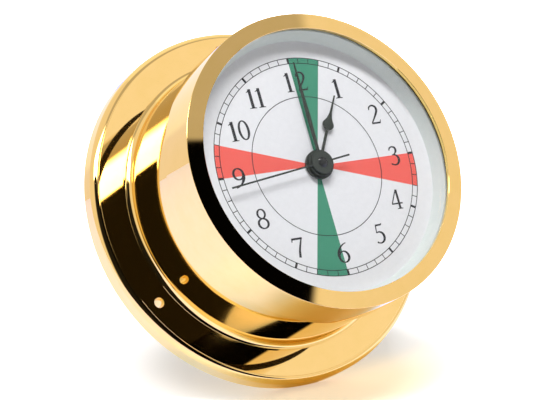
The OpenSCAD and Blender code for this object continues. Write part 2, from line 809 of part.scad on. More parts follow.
// Plate on a post that holds the front pivots of the third and intermediate wheels
module train_bridge() {
  color("#B9BDC2") facing() difference() {
    union() {
      for (place = [third_at, intermediate_at]) {
        at(place, 0) bar(bridge_arm_w / 2, bridge_back, bridge_front);
        arm = bridge_post_at - place;
        at(place, bridge_back) rotate([0, 0, atan2(arm[1], arm[0])])
          translate([0, -bridge_arm_w / 2, 0]) cube([norm(arm), bridge_arm_w, bridge_t]);
      }
      at(bridge_post_at, 0) bar(bridge_post_r, bridge_back, bridge_front);
    }
    for (place = [third_at, intermediate_at]) at(place, 0) bar(arbor_r + run, bridge_back - eps, bridge_front + eps);
    at(bridge_post_at, 0) bar(bridge_screw_d / 2 + screw_play, bridge_back - eps, bridge_front + eps);
  }
}

module bridge_screw() {
  color("#C8C8C8") facing() at(bridge_post_at, bridge_back)
    screw(2 * bridge_screw_d, bridge_screw_d / 2, bridge_screw_d, bridge_t + mov_inside - bridge_front - screw_play);
}

module hour_wheel() {
  color("#E8E4D8") facing() difference() {
    union() {
      meeting(hour_teeth, motion_module, motion_dir, hour_wheel_back, hour_wheel_front);
      bar(hour_tube_r, hour_wheel_back, hour_tube_top);
    }
    bar(hour_bore_r, hour_wheel_back - eps, hour_tube_top + eps);
  }
}

module cannon_pinion() {
  color("#D8B767") facing() difference() {
    union() {
      toothed(cannon_teeth, cannon_module, motion_dir, cannon_back, cannon_front);
      bar(minute_tube_r, cannon_front, minute_tube_top);
      bar(tail_r, cannon_end, cannon_back);
    }
    bar(minute_bore_r, cannon_end - eps, minute_tube_top + eps);
  }
}

module clutch_ring() {
  color("#B9BDC2") facing() tube(tail_r + 2 * clutch_t, tail_r + grip, cannon_end, clutch_front);
}

module motion_wheel() {
  color("#E8E4D8") facing() at(motion_at, 0) union() {
    meeting(motion_teeth, cannon_module, motion_dir + 180, motion_back, motion_front);
    toothed(motion_pinion_teeth, motion_module, motion_dir + 180, motion_front, hour_wheel_front);
    bar(arbor_r, hour_wheel_front, mov_inside + pivot_l);
    bar(setting_arbor_r, knob_back + knob_h / 4, motion_back);
  }
}

module setting_knob() {
  flute_r = knob_d / knob_flutes / 2;
  color("#1F1F20") facing() at(motion_at, 0) difference() {
    bar(knob_d / 2, knob_back, knob_front);
    for (k = [0 : knob_flutes - 1]) at(polar(knob_d / 2, 360 * k / knob_flutes), 0)
      bar(flute_r, knob_back - eps, knob_front + eps);
    bar(setting_arbor_r + grip, knob_back + knob_h / 4 - grip, knob_front + eps);
  }
}

module centre_wheel() {
  color("#E8E4D8") facing() difference() {
    meeting(centre_teeth, centre_module, third_dir, centre_back, centre_front);
    bar(tail_r + run, centre_back - eps, centre_front + eps);
  }
}

module third_wheel() {
  color("#E8E4D8") facing() at(third_at, 0) union() {
    meeting(third_teeth, train_module, third_dir + 180, third_back, third_front);
    toothed(third_pinion_teeth, centre_module, third_dir + 180, third_front, centre_front + layer_gap / 4);
    bar(arbor_r, pivot_back, third_back);
    bar(arbor_r, centre_front, bridge_front);
  }
}

module seconds_wheel() {
  color("#E8E4D8") facing() union() {
    meeting(seconds_teeth, train_module, intermediate_dir, seconds_back, seconds_front);
    toothed(seconds_pinion_teeth, train_module, third_dir, seconds_front, seconds_pinion_front);
    bar(second_arbor_r, pivot_back, seconds_back);
    bar(second_arbor_r, seconds_pinion_front, arbor_top);
  }
}

module intermediate_wheel() {
  color("#E8E4D8") facing() at(intermediate_at, 0) union() {
    meeting(intermediate_teeth, train_module, rotor_dir, intermediate_back, intermediate_front);
    toothed(
      intermediate_pinion_teeth, train_module, intermediate_dir + 180, intermediate_front, intermediate_pinion_front
    );
    bar(arbor_r, pivot_back, intermediate_back);
    bar(arbor_r, intermediate_pinion_front, bridge_front);
  }
}

module rotor_pinion() {
  color("#D8D8D8") facing() at(rotor_at, 0) union() {
    toothed(rotor_teeth, train_module, rotor_dir + 180, rotor_pinion_back, magnet_back);
    bar(arbor_r, pivot_back, rotor_pinion_back);
    bar(arbor_r, magnet_back, magnet_front + layer_gap + pivot_l);
  }
}

module rotor_magnet() {
  color("#4A4A4E") facing() at(rotor_at, 0) tube(magnet_d / 2, arbor_r + grip, magnet_back, magnet_front);
}

module stator() {
  color("#9A9DA1") facing() difference() {
    translate([rotor_at[0], 0, stator_back]) linear_extrude(stator_t) difference() {
      translate([-leg_out, stator_low]) square([2 * leg_out, leg_top - stator_low]);
      translate([-leg_in, stator_high]) square([2 * leg_in, leg_top - stator_high + eps]);
    }
    at(rotor_at, 0) bar(stator_hole_r, stator_back - eps, stator_front + eps);
    at(intermediate_at, 0) bar(stator_notch_r, stator_back - eps, stator_front + eps);
  }
}

module coil_core() {
  color("#9A9DA1") facing()
    translate([rotor_at[0], coil_y, core_mid]) cube([2 * leg_out, core_w, core_t], center = true);
}

// Wound bobbin on the core, with a flange at each end
module coil() {
  color("#B4632E") facing() translate([rotor_at[0], coil_y, core_mid]) difference() {
    rotate([0, 90, 0]) union() {
      cylinder(d = coil_d, h = coil_l, center = true);
      for (x = [-1, 1])
        translate([0, 0, x * (coil_l + coil_flange_t) / 2]) cylinder(r = coil_flange_r, h = coil_flange_t, center = true);
    }
    cube([2 * coil_half + eps, core_w + 2 * grip, core_t + 2 * grip], center = true);
  }
}

module circuit_board() {
  color("#2F6B3C") facing() translate([board_mid[0] - board_w / 2, board_mid[1] - board_h / 2, board_back])
    cube([board_w, board_h, board_t]);
}

module chip() {
  color("#161617") facing() translate([board_mid[0] - chip_w / 2, board_mid[1], board_back - chip_h])
    cube([chip_w, chip_w, chip_h]);
}

module quartz_crystal() {
  color("#C9CCD0") facing()
    translate([board_mid[0] - crystal_l / 2, board_mid[1] - crystal_d, board_back - crystal_d / 2])
      rotate([0, 90, 0]) cylinder(d = crystal_d, h = crystal_l);
}

module battery() {
  can_l = battery_l - battery_cap_h;
  color("#8C3B2E") facing() translate([battery_minus_end, battery_y, battery_z]) rotate([0, 90, 0]) union() {
    cylinder(r = battery_r, h = can_l);
    cylinder(d = battery_cap_d, h = battery_l);
  }
}

// Flat spring plates at the two ends of the bay
module contact_plate(x) {
  translate([x, battery_y - contact_w / 2, battery_z - contact_w / 2]) cube([contact_t, contact_w, contact_w]);
}

module positive_contact() {
  color("#C9CCD0") facing() contact_plate(bay_half - contact_t);
}

module negative_contact() {
  color("#C9CCD0") facing() union() {
    contact_plate(-bay_half);
    translate([contact_t - bay_half, battery_y, battery_z]) rotate([0, 90, 0])
      cylinder(d1 = contact_w * 0.8, d2 = battery_cap_d, h = contact_bulge);
  }
}

case_body();
bezel_seal();
bezel();
glass();
glass_seal();
glass_retainer();
spacer_ring();
dial();
dial_feet();
dial_screws();
hour_hand();
minute_hand();
second_hand();
movement_case();
movement_cover();
cover_screws();
movement_screws();
train_bridge();
bridge_screw();
hour_wheel();
cannon_pinion();
clutch_ring();
motion_wheel();
setting_knob();
centre_wheel();
third_wheel();
seconds_wheel();
intermediate_wheel();
rotor_pinion();
rotor_magnet();
stator();
coil_core();
coil();
circuit_board();
chip();
quartz_crystal();
battery();
positive_contact();
negative_contact();
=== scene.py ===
"""Looks of a small brass marine clock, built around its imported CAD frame.

Heights are in millimetres from the wall towards the viewer, radii from the clock's axis, and clock angles in
degrees from twelve, clockwise as the viewer sees them.
"""
import json
import logging
import math
from dataclasses import dataclass, field, replace
from enum import Enum
from typing import Iterable, Sequence

import bmesh
import bpy
from mathutils import Matrix, Vector


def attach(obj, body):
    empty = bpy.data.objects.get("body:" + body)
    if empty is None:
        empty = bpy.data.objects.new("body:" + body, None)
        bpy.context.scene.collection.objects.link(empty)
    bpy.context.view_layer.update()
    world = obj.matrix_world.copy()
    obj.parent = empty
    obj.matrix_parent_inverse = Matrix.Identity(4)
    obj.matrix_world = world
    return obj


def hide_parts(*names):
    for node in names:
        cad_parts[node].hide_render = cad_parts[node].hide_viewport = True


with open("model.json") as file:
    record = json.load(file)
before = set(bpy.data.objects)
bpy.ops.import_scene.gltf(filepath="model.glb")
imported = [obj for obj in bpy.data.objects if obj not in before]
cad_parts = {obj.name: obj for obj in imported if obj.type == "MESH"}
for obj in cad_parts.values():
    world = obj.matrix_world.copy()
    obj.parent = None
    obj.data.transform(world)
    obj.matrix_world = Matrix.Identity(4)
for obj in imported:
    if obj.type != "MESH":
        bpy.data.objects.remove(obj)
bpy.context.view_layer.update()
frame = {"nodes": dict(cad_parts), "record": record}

LOG = logging.getLogger("marine_clock")
Point = tuple[float, float]
Place = tuple[float, float, float]
Outline = list[Point]
Colour = tuple[float, float, float, float]
Piece = bpy.types.Object
Mesh = bmesh.types.BMesh
Tree = bpy.types.NodeTree
Socket = bpy.types.NodeSocket
Glow = Socket | Colour

MM = 0.001
# Corners of a joined mesh that lie closer than this are made one, m.
WELD = 0.001 * MM
# Edges that turn by more than this stay sharp, degrees.
SHARP = 30.0
# Points nearer to the axis than this are on it, mm.
ON_AXIS = 1e-6
# How far a drill reaches past what it cuts, how deep joined solids overlap, and what still counts as flush, mm.
DRILL_PAST = 1.0
OVERLAP = 0.1
FLUSH = 0.01
# Clock angles of a minute and an hour, degrees.
MINUTE = 6.0
HOUR = 30.0


def linear(colour: str, level: float = 1.0) -> Colour:
    """Turns an sRGB hex colour into linear values.

    Args:
        colour: a colour such as "#ECEDF1".
        level: brightness that the colour is multiplied by.

    Returns:
        Linear red, green and blue, and an alpha of 1.
    """
    parts = [int(colour[i:i + 2], 16) / 255 for i in (1, 3, 5)]
    return (*[level * (c / 12.92 if c <= 0.04045 else ((c + 0.055) / 1.055) ** 2.4) for c in parts], 1.0)


WHITE = linear("#FFFFFF")


def on_dial(x: float, y: float, height: float) -> Vector:
    """Gives the point at x to the right and y towards twelve, all in mm, in metres."""
    return Vector((x, -height, y)) * MM


def polar(radius: float, turn: float) -> Point:
    """Gives x and y on the dial at a radius and a clock angle in radians."""
    return radius * math.sin(turn), radius * math.cos(turn)


def circle(steps: int) -> list[float]:
    """Gives the angles of a circle's steps, radians."""
    return [2 * math.pi * k / steps for k in range(steps)]


def arc(centre: Point, radius: float, start: float, end: float, steps: int) -> Outline:
    """Samples an arc of a turned profile.

    Args:
        centre: radius and height of the arc's centre, mm.
        radius: the arc's own radius, mm.
        start: first angle in degrees, from the viewer's direction towards the outside.
        end: last angle in degrees.
        steps: number of chords.

    Returns:
        Points of the arc, both ends included.
    """
    places = [polar(radius, math.radians(start + (end - start) * k / steps)) for k in range(steps + 1)]
    return [(centre[0] + out, centre[1] + forward) for out, forward in places]


def shade(data: bpy.types.Mesh) -> None:
    """Shades a mesh smooth but for its sharp edges."""
    data.shade_smooth()
    data.set_sharp_from_angle(angle=math.radians(SHARP))


def show(name: str, data: bpy.types.ID) -> Piece:
    """Puts a mesh, camera or lamp in the scene.

    Args:
        name: the object's name.
        data: what it shows.

    Returns:
        The new object.
    """
    thing = bpy.data.objects.new(name, data)
    bpy.context.scene.collection.objects.link(thing)
    return thing


def new_piece(name: str, mesh: Mesh) -> Piece:
    """Makes an object of a bmesh, smooth but for its sharp edges.

    Args:
        name: the piece's name.
        mesh: the geometry, which is freed.

    Returns:
        The new object.
    """
    bmesh.ops.recalc_face_normals(mesh, faces=mesh.faces)
    data = bpy.data.meshes.new(name)
    mesh.to_mesh(data)
    mesh.free()
    shade(data)
    return show(name, data)


def bridge(mesh: Mesh, first: Sequence[bmesh.types.BMVert], second: Sequence[bmesh.types.BMVert]) -> None:
    """Joins two closed rows of corners by faces, which narrow to triangles where corners are the same.

    Args:
        mesh: the bmesh that takes the faces.
        first: one row.
        second: the other row, with as many corners.
    """
    for k in range(len(first)):
        n = (k + 1) % len(first)
        corners = list(dict.fromkeys((first[k], second[k], second[n], first[n])))
        if len(corners) > 2:
            mesh.faces.new(corners)


def lathe(name: str, outline: Sequence[Point], steps: int, axis: Point = (0.0, 0.0)) -> Piece:
    """Turns a closed section about the clock's axis or one parallel to it.

    Args:
        name: the piece's name.
        outline: closed section of radius and height, mm; points on the axis have radius 0.
        steps: number of steps round the axis.
        axis: place of the axis, x and y on the dial, mm.

    Returns:
        The turned piece.
    """
    mesh = bmesh.new()
    shift = on_dial(*axis, 0.0)
    half_step = math.pi / steps
    rings = []
    for radius, height in outline:
        if radius < ON_AXIS:
            rings.append([mesh.verts.new(on_dial(0.0, 0.0, height) + shift)] * steps)
        else:
            rings.append([mesh.verts.new(on_dial(*polar(radius, turn + half_step), height) + shift)
                          for turn in circle(steps)])
    for first, second in zip(rings, rings[1:] + rings[:1]):
        bridge(mesh, first, second)
    return new_piece(name, mesh)


def shrink(outline: Sequence[Point], inset: float) -> Outline:
    """Moves an outline's corners inwards, along their mean normals.

    Args:
        outline: closed outline, either way round.
        inset: distance, mm.

    Returns:
        The smaller outline.
    """
    count = len(outline)
    area = sum(outline[k - 1][0] * outline[k][1] - outline[k][0] * outline[k - 1][1] for k in range(count))
    side = math.copysign(inset, area)
    result = []
    for k, (x, y) in enumerate(outline):
        before, after = outline[k - 1], outline[(k + 1) % count]
        along = Vector((after[0] - before[0], after[1] - before[1])).normalized()
        result.append((x - side * along.y, y + side * along.x))
    return result


def slab(mesh: Mesh, outline: Sequence[Point], low: float, high: float, edge: float = 0.0) -> None:
    """Makes a flat piece of an outline on the dial's plane, with its front edge broken if asked.

    Args:
        mesh: the bmesh that takes the slab.
        outline: x and y on the dial, mm.
        low: rear height, mm.
        high: front height, mm.
        edge: width of the broken front edge, mm.
    """
    levels = [(low, outline), (high - edge, outline)]
    if edge:
        levels.append((high, shrink(outline, edge)))
    rings = [[mesh.verts.new(on_dial(x, y, height)) for x, y in points] for height, points in levels]
    mesh.faces.new(rings[0])
    mesh.faces.new(rings[-1])
    for first, second in zip(rings, rings[1:]):
        bridge(mesh, first, second)


def spline(knots: Sequence[Sequence[float]], steps: int = 8) -> list[Sequence[float]]:
    """Runs a Catmull-Rom curve through knots of any number of values; two knots stay a straight line.

    Args:
        knots: the points.
        steps: samples between two knots.

    Returns:
        The sampled points.
    """
    last = len(knots) - 1
    if last == 1:
        return list(knots)
    result = []
    for i in range(last):
        near = [knots[min(max(i + j, 0), last)] for j in (-1, 0, 1, 2)]
        for t in (s / steps for s in range(steps)):
            result.append([0.5 * (2 * b + (c - a) * t + (2 * a - 5 * b + 4 * c - d) * t ** 2
                                  + (3 * b - a - 3 * c + d) * t ** 3) for a, b, c, d in zip(*near)])
    return result + [knots[-1]]


def ribbon(mesh: Mesh, path: Sequence[Sequence[float]], closed: bool, low: float, high: float) -> None:
    """Makes a flat stroke of varying width on the dial's plane.

    Args:
        mesh: the bmesh that takes the stroke.
        path: x, y and width along the stroke, mm.
        closed: whether the stroke is a ring.
        low: rear height, mm.
        high: front height, mm.
    """
    count = len(path)
    rows = []
    for k, (x, y, width) in enumerate(path):
        before = path[k - 1] if closed or k else path[k]
        after = path[(k + 1) % count] if closed or k < count - 1 else path[k]
        along = Vector((after[0] - before[0], after[1] - before[1])).normalized()
        across = Vector((-along.y, along.x)) * width / 2
        left, right = (x + across.x, y + across.y), (x - across.x, y - across.y)
        rows.append([mesh.verts.new(on_dial(*side, height))
                     for side, height in ((left, low), (right, low), (right, high), (left, high))])
    for first, second in zip(rows, rows[1:] + (rows[:1] if closed else [])):
        bridge(mesh, first, second)
    if not closed:
        mesh.faces.new(rows[0])
        mesh.faces.new(rows[-1])


class Join(Enum):
    """What other solids do to a piece, in Blender's words."""

    ADD = "UNION"
    CUT = "DIFFERENCE"


def combine(piece: Piece, others: Iterable[Piece], how: Join) -> None:
    """Adds other solids to a piece or cuts them from it, removes them and closes the mesh cleanly.

    Args:
        piece: the piece that changes.
        others: solids to add or cut.
        how: whether they are added or cut.
    """
    others = list(others)
    for other in others:
        step = piece.modifiers.new("solid", "BOOLEAN")
        step.operation = how.value
        step.solver = "EXACT"
        step.object = other
    bpy.context.view_layer.update()
    made = bpy.data.meshes.new_from_object(piece.evaluated_get(bpy.context.evaluated_depsgraph_get()))
    piece.modifiers.clear()
    clean = bmesh.new()
    clean.from_mesh(made)
    bmesh.ops.remove_doubles(clean, verts=clean.verts, dist=WELD)
    bmesh.ops.dissolve_degenerate(clean, edges=clean.edges, dist=WELD)
    bmesh.ops.holes_fill(clean, edges=[edge for edge in clean.edges if edge.is_boundary])
    bmesh.ops.recalc_face_normals(clean, faces=clean.faces)
    clean.to_mesh(made)
    clean.free()
    made.name = piece.name
    piece.data = made
    for other in others:
        bpy.data.objects.remove(other)
    shade(made)


def plug(tree: Tree, node: bpy.types.Node, sockets: dict) -> None:
    """Sets a node's inputs to values, or links them.

    Args:
        tree: the node tree.
        node: the node.
        sockets: values, or output sockets to link, by input name or number.
    """
    for name, value in sockets.items():
        if isinstance(value, Socket):
            tree.links.new(value, node.inputs[name])
        else:
            node.inputs[name].default_value = value


def add_node(tree: Tree, kind: str, sockets: dict | None = None, out: int | str = 0, **settings) -> Socket:
    """Adds a shader node with its settings, values and links.

    Args:
        tree: the node tree.
        kind: the node's type name, without the prefix that all shader nodes have.
        sockets: values, or output sockets to link, by input name or number.
        out: name or number of the wanted output.
        **settings: properties of the node.

    Returns:
        The wanted output.
    """
    node = tree.nodes.new("ShaderNode" + kind)
    for name, value in settings.items():
        setattr(node, name, value)
    plug(tree, node, sockets or {})
    return node.outputs[out]


def layered(tree: Tree, base: Glow, layers: Iterable[tuple[Socket, Glow]]) -> Glow:
    """Lays colours over a base, each as far as its mask says.

    Args:
        tree: the node tree.
        base: the lowest colour.
        layers: masks with their colours, from below.

    Returns:
        The colour on top.
    """
    for mask, colour in layers:
        base = add_node(tree, "Mix", {"Factor": mask, 6: base, 7: colour}, 2, data_type="RGBA")
    return base


def new_material(name: str) -> tuple[bpy.types.Material, Tree, bpy.types.Node]:
    """Makes a node material.

    Args:
        name: the material's name.

    Returns:
        The material, its node tree and its surface shader.
    """
    material = bpy.data.materials.new(name)
    material.use_nodes = True
    return material, material.node_tree, material.node_tree.nodes["Principled BSDF"]


def open_up(tree: Tree, mask: Socket) -> None:
    """Lets light straight through a material where a mask is 1.

    Args:
        tree: the material's node tree.
        mask: where the material is clear.
    """
    solid, clear = tree.nodes["Principled BSDF"].outputs[0], add_node(tree, "BsdfTransparent")
    surface = add_node(tree, "MixShader", {0: mask, 1: solid, 2: clear})
    plug(tree, tree.nodes["Material Output"], {"Surface": surface})


class Grain(Enum):
    """How a finish's fine pattern runs."""

    CLOUD = "soft patches and grit, as on moulded, painted or cast faces"
    TURNED = "fine rings about the clock's axis, as a lathe leaves them, drawn coarse enough to show"
    DRAWN = "lines along one direction, as rolled or drawn sheet shows"
    WOUND = "turns of wire side by side, drawn coarse enough to show"


# How many times longer than wide the lines of drawn sheet are, which is also the wave texture's own factor.
STRETCH = 20.0
# Share of the grain at which the second colour starts and is reached.
TINT_SPAN = (0.3, 0.7)
# Height of a finish's relief as a share of its grain, and the roughness of clear lacquer.
RELIEF = 0.2
LACQUER_ROUGHNESS = 0.04


@dataclass(frozen=True)
class Finish:
    """A surface finish, from one base colour to a second one along its grain."""

    name: str
    colour: str
    shade_colour: str
    grain_mm: float
    roughness: Point
    metallic: float = 0.0
    bump: float = 0.0
    grain: Grain = Grain.CLOUD
    coat: float = 0.0
    shine: float = 0.5

    def pattern(self, tree: Tree) -> Socket:
        """Builds the grain's height from 0 to 1.

        Args:
            tree: the material's node tree.

        Returns:
            The pattern's output socket.
        """
        place = add_node(tree, "TexCoord", out="Object")
        fine = 1.0 / (self.grain_mm * MM)
        coarse = fine / STRETCH
        if self.grain is Grain.CLOUD:
            return add_node(tree, "TexNoise", {"Vector": place, "Scale": fine, "Detail": 3.0, "Roughness": 0.6})
        if self.grain is Grain.TURNED:
            rings = {"Vector": place, "Scale": coarse, "Distortion": 1.5, "Detail": 2.0, "Detail Scale": 1.0}
            return add_node(tree, "TexWave", rings, "Fac", wave_type="RINGS", rings_direction="Y")
        if self.grain is Grain.WOUND:
            turns = {"Vector": place, "Scale": coarse, "Distortion": 0.3}
            return add_node(tree, "TexWave", turns, "Fac", wave_type="BANDS", bands_direction="X")
        stretched = add_node(tree, "Mapping", {"Vector": place, "Scale": (1.0, STRETCH, STRETCH)})
        return add_node(tree, "TexNoise", {"Vector": stretched, "Scale": coarse, "Detail": 2.0})

    def tint(self, tree: Tree, height: Socket) -> Socket:
        """Runs the grain from the base colour to the shade colour.

        Args:
            tree: the material's node tree.
            height: the grain's height.

        Returns:
            The colour's output socket.
        """
        ramp = add_node(tree, "ValToRGB", {"Fac": height})
        stops = zip(ramp.node.color_ramp.elements, TINT_SPAN, (self.colour, self.shade_colour))
        for stop, place, colour in stops:
            stop.position, stop.color = place, linear(colour)
        return ramp

    def make(self) -> bpy.types.Material:
        """Makes the material.

        Returns:
            A node material named for the finish.
        """
        material, tree, shader = new_material(self.name)
        height = self.pattern(tree)
        low, high = self.roughness
        sockets = {
            "Base Color": self.tint(tree, height),
            "Roughness": add_node(tree, "MapRange", {"Value": height, "To Min": low, "To Max": high}),
            "Metallic": self.metallic,
            "Specular IOR Level": self.shine,
        }
        if self.coat:
            sockets |= {"Coat Weight": self.coat, "Coat Roughness": LACQUER_ROUGHNESS}
        if self.bump:
            depth = self.grain_mm * MM * RELIEF
            relief = {"Height": height, "Strength": self.bump, "Distance": depth}
            sockets["Normal"] = add_node(tree, "Bump", relief)
        plug(tree, shader, sockets)
        return material


@dataclass(frozen=True)
class ClearGlass:
    """Float glass, polished flat and bloomed: colourless, with a faint reflection of the room."""

    name: str = "float_glass"
    ior: float = 1.12

    def make(self) -> bpy.types.Material:
        """Makes the glass, which lets lamp light straight through to the dial.

        Returns:
            The glass material.
        """
        material, tree, shader = new_material(self.name)
        plug(tree, shader, {"Base Color": WHITE, "Transmission Weight": 1.0, "Roughness": 0.0, "IOR": self.ior})
        rays = add_node(tree, "LightPath").node.outputs
        open_up(tree, add_node(tree, "Math", {0: rays["Is Shadow Ray"], 1: rays["Is Diffuse Ray"]},
                               operation="MAXIMUM"))
        return material


# Polished and lacquered cartridge brass: a mirror with a warm yellow tint, and very faint polishing haze.
POLISHED_BRASS = Finish("polished_brass", "#F5D47C", "#F2D176", 6.0, (0.02, 0.045), 1.0, coat=0.15)
# The ring under the bezel: brass darkened as painted shade, standing for the shadow in the gap under the band.
SHADED_UNDERSIDE_BRASS = Finish("painted_shade_brass", "#231B10", "#1A140C", 0.8, (0.4, 0.55), 0.5, 0.1)
FINISHES: dict[str, Finish | ClearGlass] = {
    "polished_brass": POLISHED_BRASS,
    # Free-cutting brass straight off the lathe: fine rings, duller than the polished case.
    "turned_brass": Finish("turned_brass", "#D9B46A", "#C79E52", 0.4, (0.22, 0.32), 1.0, 0.15, Grain.TURNED),
    "clear_glass": ClearGlass(),
    # Moulded silicone: pale, matt, slightly waxy.
    "pale_silicone": Finish("pale_silicone", "#DADAD6", "#CFCFCA", 1.5, (0.5, 0.62), 0.0, 0.1),
    # Nitrile rubber cord: black with a dull moulded skin.
    "black_rubber": Finish("nitrile_rubber", "#1B1B1B", "#262626", 0.8, (0.55, 0.7), 0.0, 0.15),
    # White polystyrene, moulded: even and satin, a little greyer than the dial.
    "white_plastic": Finish("white_polystyrene", "#DFE6E4", "#DAE2E0", 2.0, (0.38, 0.46), 0.0, 0.05),
    # Sprayed white enamel on the dial sheet: matt with the faintest orange peel.
    "white_enamel_paint": Finish("white_dial_enamel", "#EEEFF3", "#EAEBEF", 1.2, (0.5, 0.6), 0.0, 0.06),
    # Sprayed satin black on the hands: a soft shine, slight grit.
    "black_hand_paint": Finish("black_hand_paint", "#3C413D", "#434843", 0.6, (0.2, 0.3), 0.0, 0.08, shine=0.18),
    # Zinc-plated steel screws: greyish white, with the plating's faint cloud.
    "screw_steel": Finish("zinc_plated_steel", "#C9CBCC", "#B4B7B9", 0.5, (0.25, 0.38), 1.0, 0.1),
    # Rolled spring steel: bright, with drawn lines.
    "spring_steel": Finish("rolled_spring_steel", "#CDD0D4", "#B7BBC0", 0.35, (0.2, 0.35), 1.0, 0.12, Grain.DRAWN),
    # Stamped soft iron: grey, slightly scaly.
    "soft_iron": Finish("stamped_soft_iron", "#9A9C9E", "#85888B", 0.5, (0.35, 0.5), 1.0, 0.15),
    # Ground ferrite magnet: dark grey and gritty.
    "magnet": Finish("ground_ferrite", "#3C3C40", "#4A4A4E", 0.25, (0.45, 0.6), 0.2, 0.2),
    # Enamelled copper wire: turns side by side, orange-brown gloss.
    "copper_winding": Finish("enamelled_copper_wire", "#C8743C", "#8E4A20", 0.22, (0.22, 0.38), 0.9, 0.6,
                             Grain.WOUND),
    # Glass-fibre laminate under green solder mask: a smooth gloss over the faint weave.
    "green_laminate": Finish("solder_mask_laminate", "#1E6B3A", "#17572F", 0.6, (0.25, 0.38), 0.0, 0.1, coat=0.3),
    # Transfer-moulded black epoxy: matt and fine-grained.
    "black_resin": Finish("black_epoxy", "#1F1F20", "#29292A", 0.25, (0.5, 0.62), 0.0, 0.15),
    # Injection-moulded black polystyrene with a spark-eroded grain: dull, with a fine sparkle.
    "black_plastic": Finish("black_moulded_polystyrene", "#1E1E1F", "#2B2B2C", 0.35, (0.42, 0.58), 0.0, 0.35,
                            shine=0.2),
    # Acetal wheels: milky white, slightly waxy.
    "wheel_plastic": Finish("natural_acetal", "#ECE7DA", "#E2DCCC", 1.0, (0.35, 0.45), 0.0, 0.06),
    # Shrunk film on the cell: glossy dark red, with the steel can beneath slightly uneven.
    "battery_jacket": Finish("battery_film", "#8E2F26", "#7E271F", 5.0, (0.22, 0.32), 0.0, 0.05, coat=0.4),
}
# The cell's bare can ends and contact cap: nickel-plated steel, bright and slightly rubbed.
BARE_CAN = Finish("nickel_plated_steel", "#D3D3CF", "#C3C3BF", 0.8, (0.2, 0.32), 1.0, 0.08)
# The pressed cap in the middle of the second hand: black lacquer, glossy enough to mirror the lamp.
GLOSSY_CAP = Finish("glossy_black_lacquer", "#1E201F", "#262827", 2.0, (0.05, 0.08), shine=0.3)
# Screen-printed inks on the dial: flat, slightly soft at the edges of the grain.
NUMERAL_INK = Finish("numeral_ink", "#353538", "#3C3C3F", 0.5, (0.55, 0.65), 0.0, 0.08, shine=0.2)
GREEN_INK = Finish("green_sector_ink", "#4A9176", "#4F967C", 0.7, (0.55, 0.65), 0.0, 0.06, shine=0.2)
RED_INK = Finish("red_sector_ink", "#F86B62", "#F47168", 0.7, (0.55, 0.65), 0.0, 0.06, shine=0.2)


class Workshop:
    """Keeps one material per finish, and puts pieces on their bodies."""

    def __init__(self) -> None:
        """Starts with no materials."""
        self.made: dict[str, bpy.types.Material] = {}

    def material(self, finish: Finish | ClearGlass) -> bpy.types.Material:
        """Gives a finish's material, made once.

        Args:
            finish: the finish.

        Returns:
            Its material.
        """
        if finish.name not in self.made:
            self.made[finish.name] = finish.make()
        return self.made[finish.name]

    def fit(self, piece: Piece, body: str, slot: str, finish: Finish | None = None, second: Finish | None = None,
            replaces: str | None = None) -> None:
        """Paints a piece, puts it on its body and reports it.

        Args:
            piece: the piece.
            body: the CAD body that carries it.
            slot: the record's material slot.
            finish: its finish, where that isn't the slot's own.
            second: the finish of its faces that are marked for a second one.
            replaces: the CAD node that it stands for.
        """
        paints = [self.material(paint) for paint in (finish or FINISHES[slot], second) if paint]
        for paint in paints:
            piece.data.materials.append(paint)
        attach(piece, body)
        if replaces:
            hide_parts(replaces)
        LOG.info("%s rides on %s, %d faces", piece.name, body, len(piece.data.polygons))

    def dress_nodes(self) -> None:
        """Gives every CAD node that still shows the finish of its slot."""
        for row in frame["record"]["subparts"]:
            node = frame["nodes"][row["node"]]
            if node.hide_render:
                continue
            node.data.materials.clear()
            node.data.materials.append(self.material(FINISHES[row["material_slot"]]))
            LOG.info("%s keeps its solid, in %s", node.name, row["material_slot"])


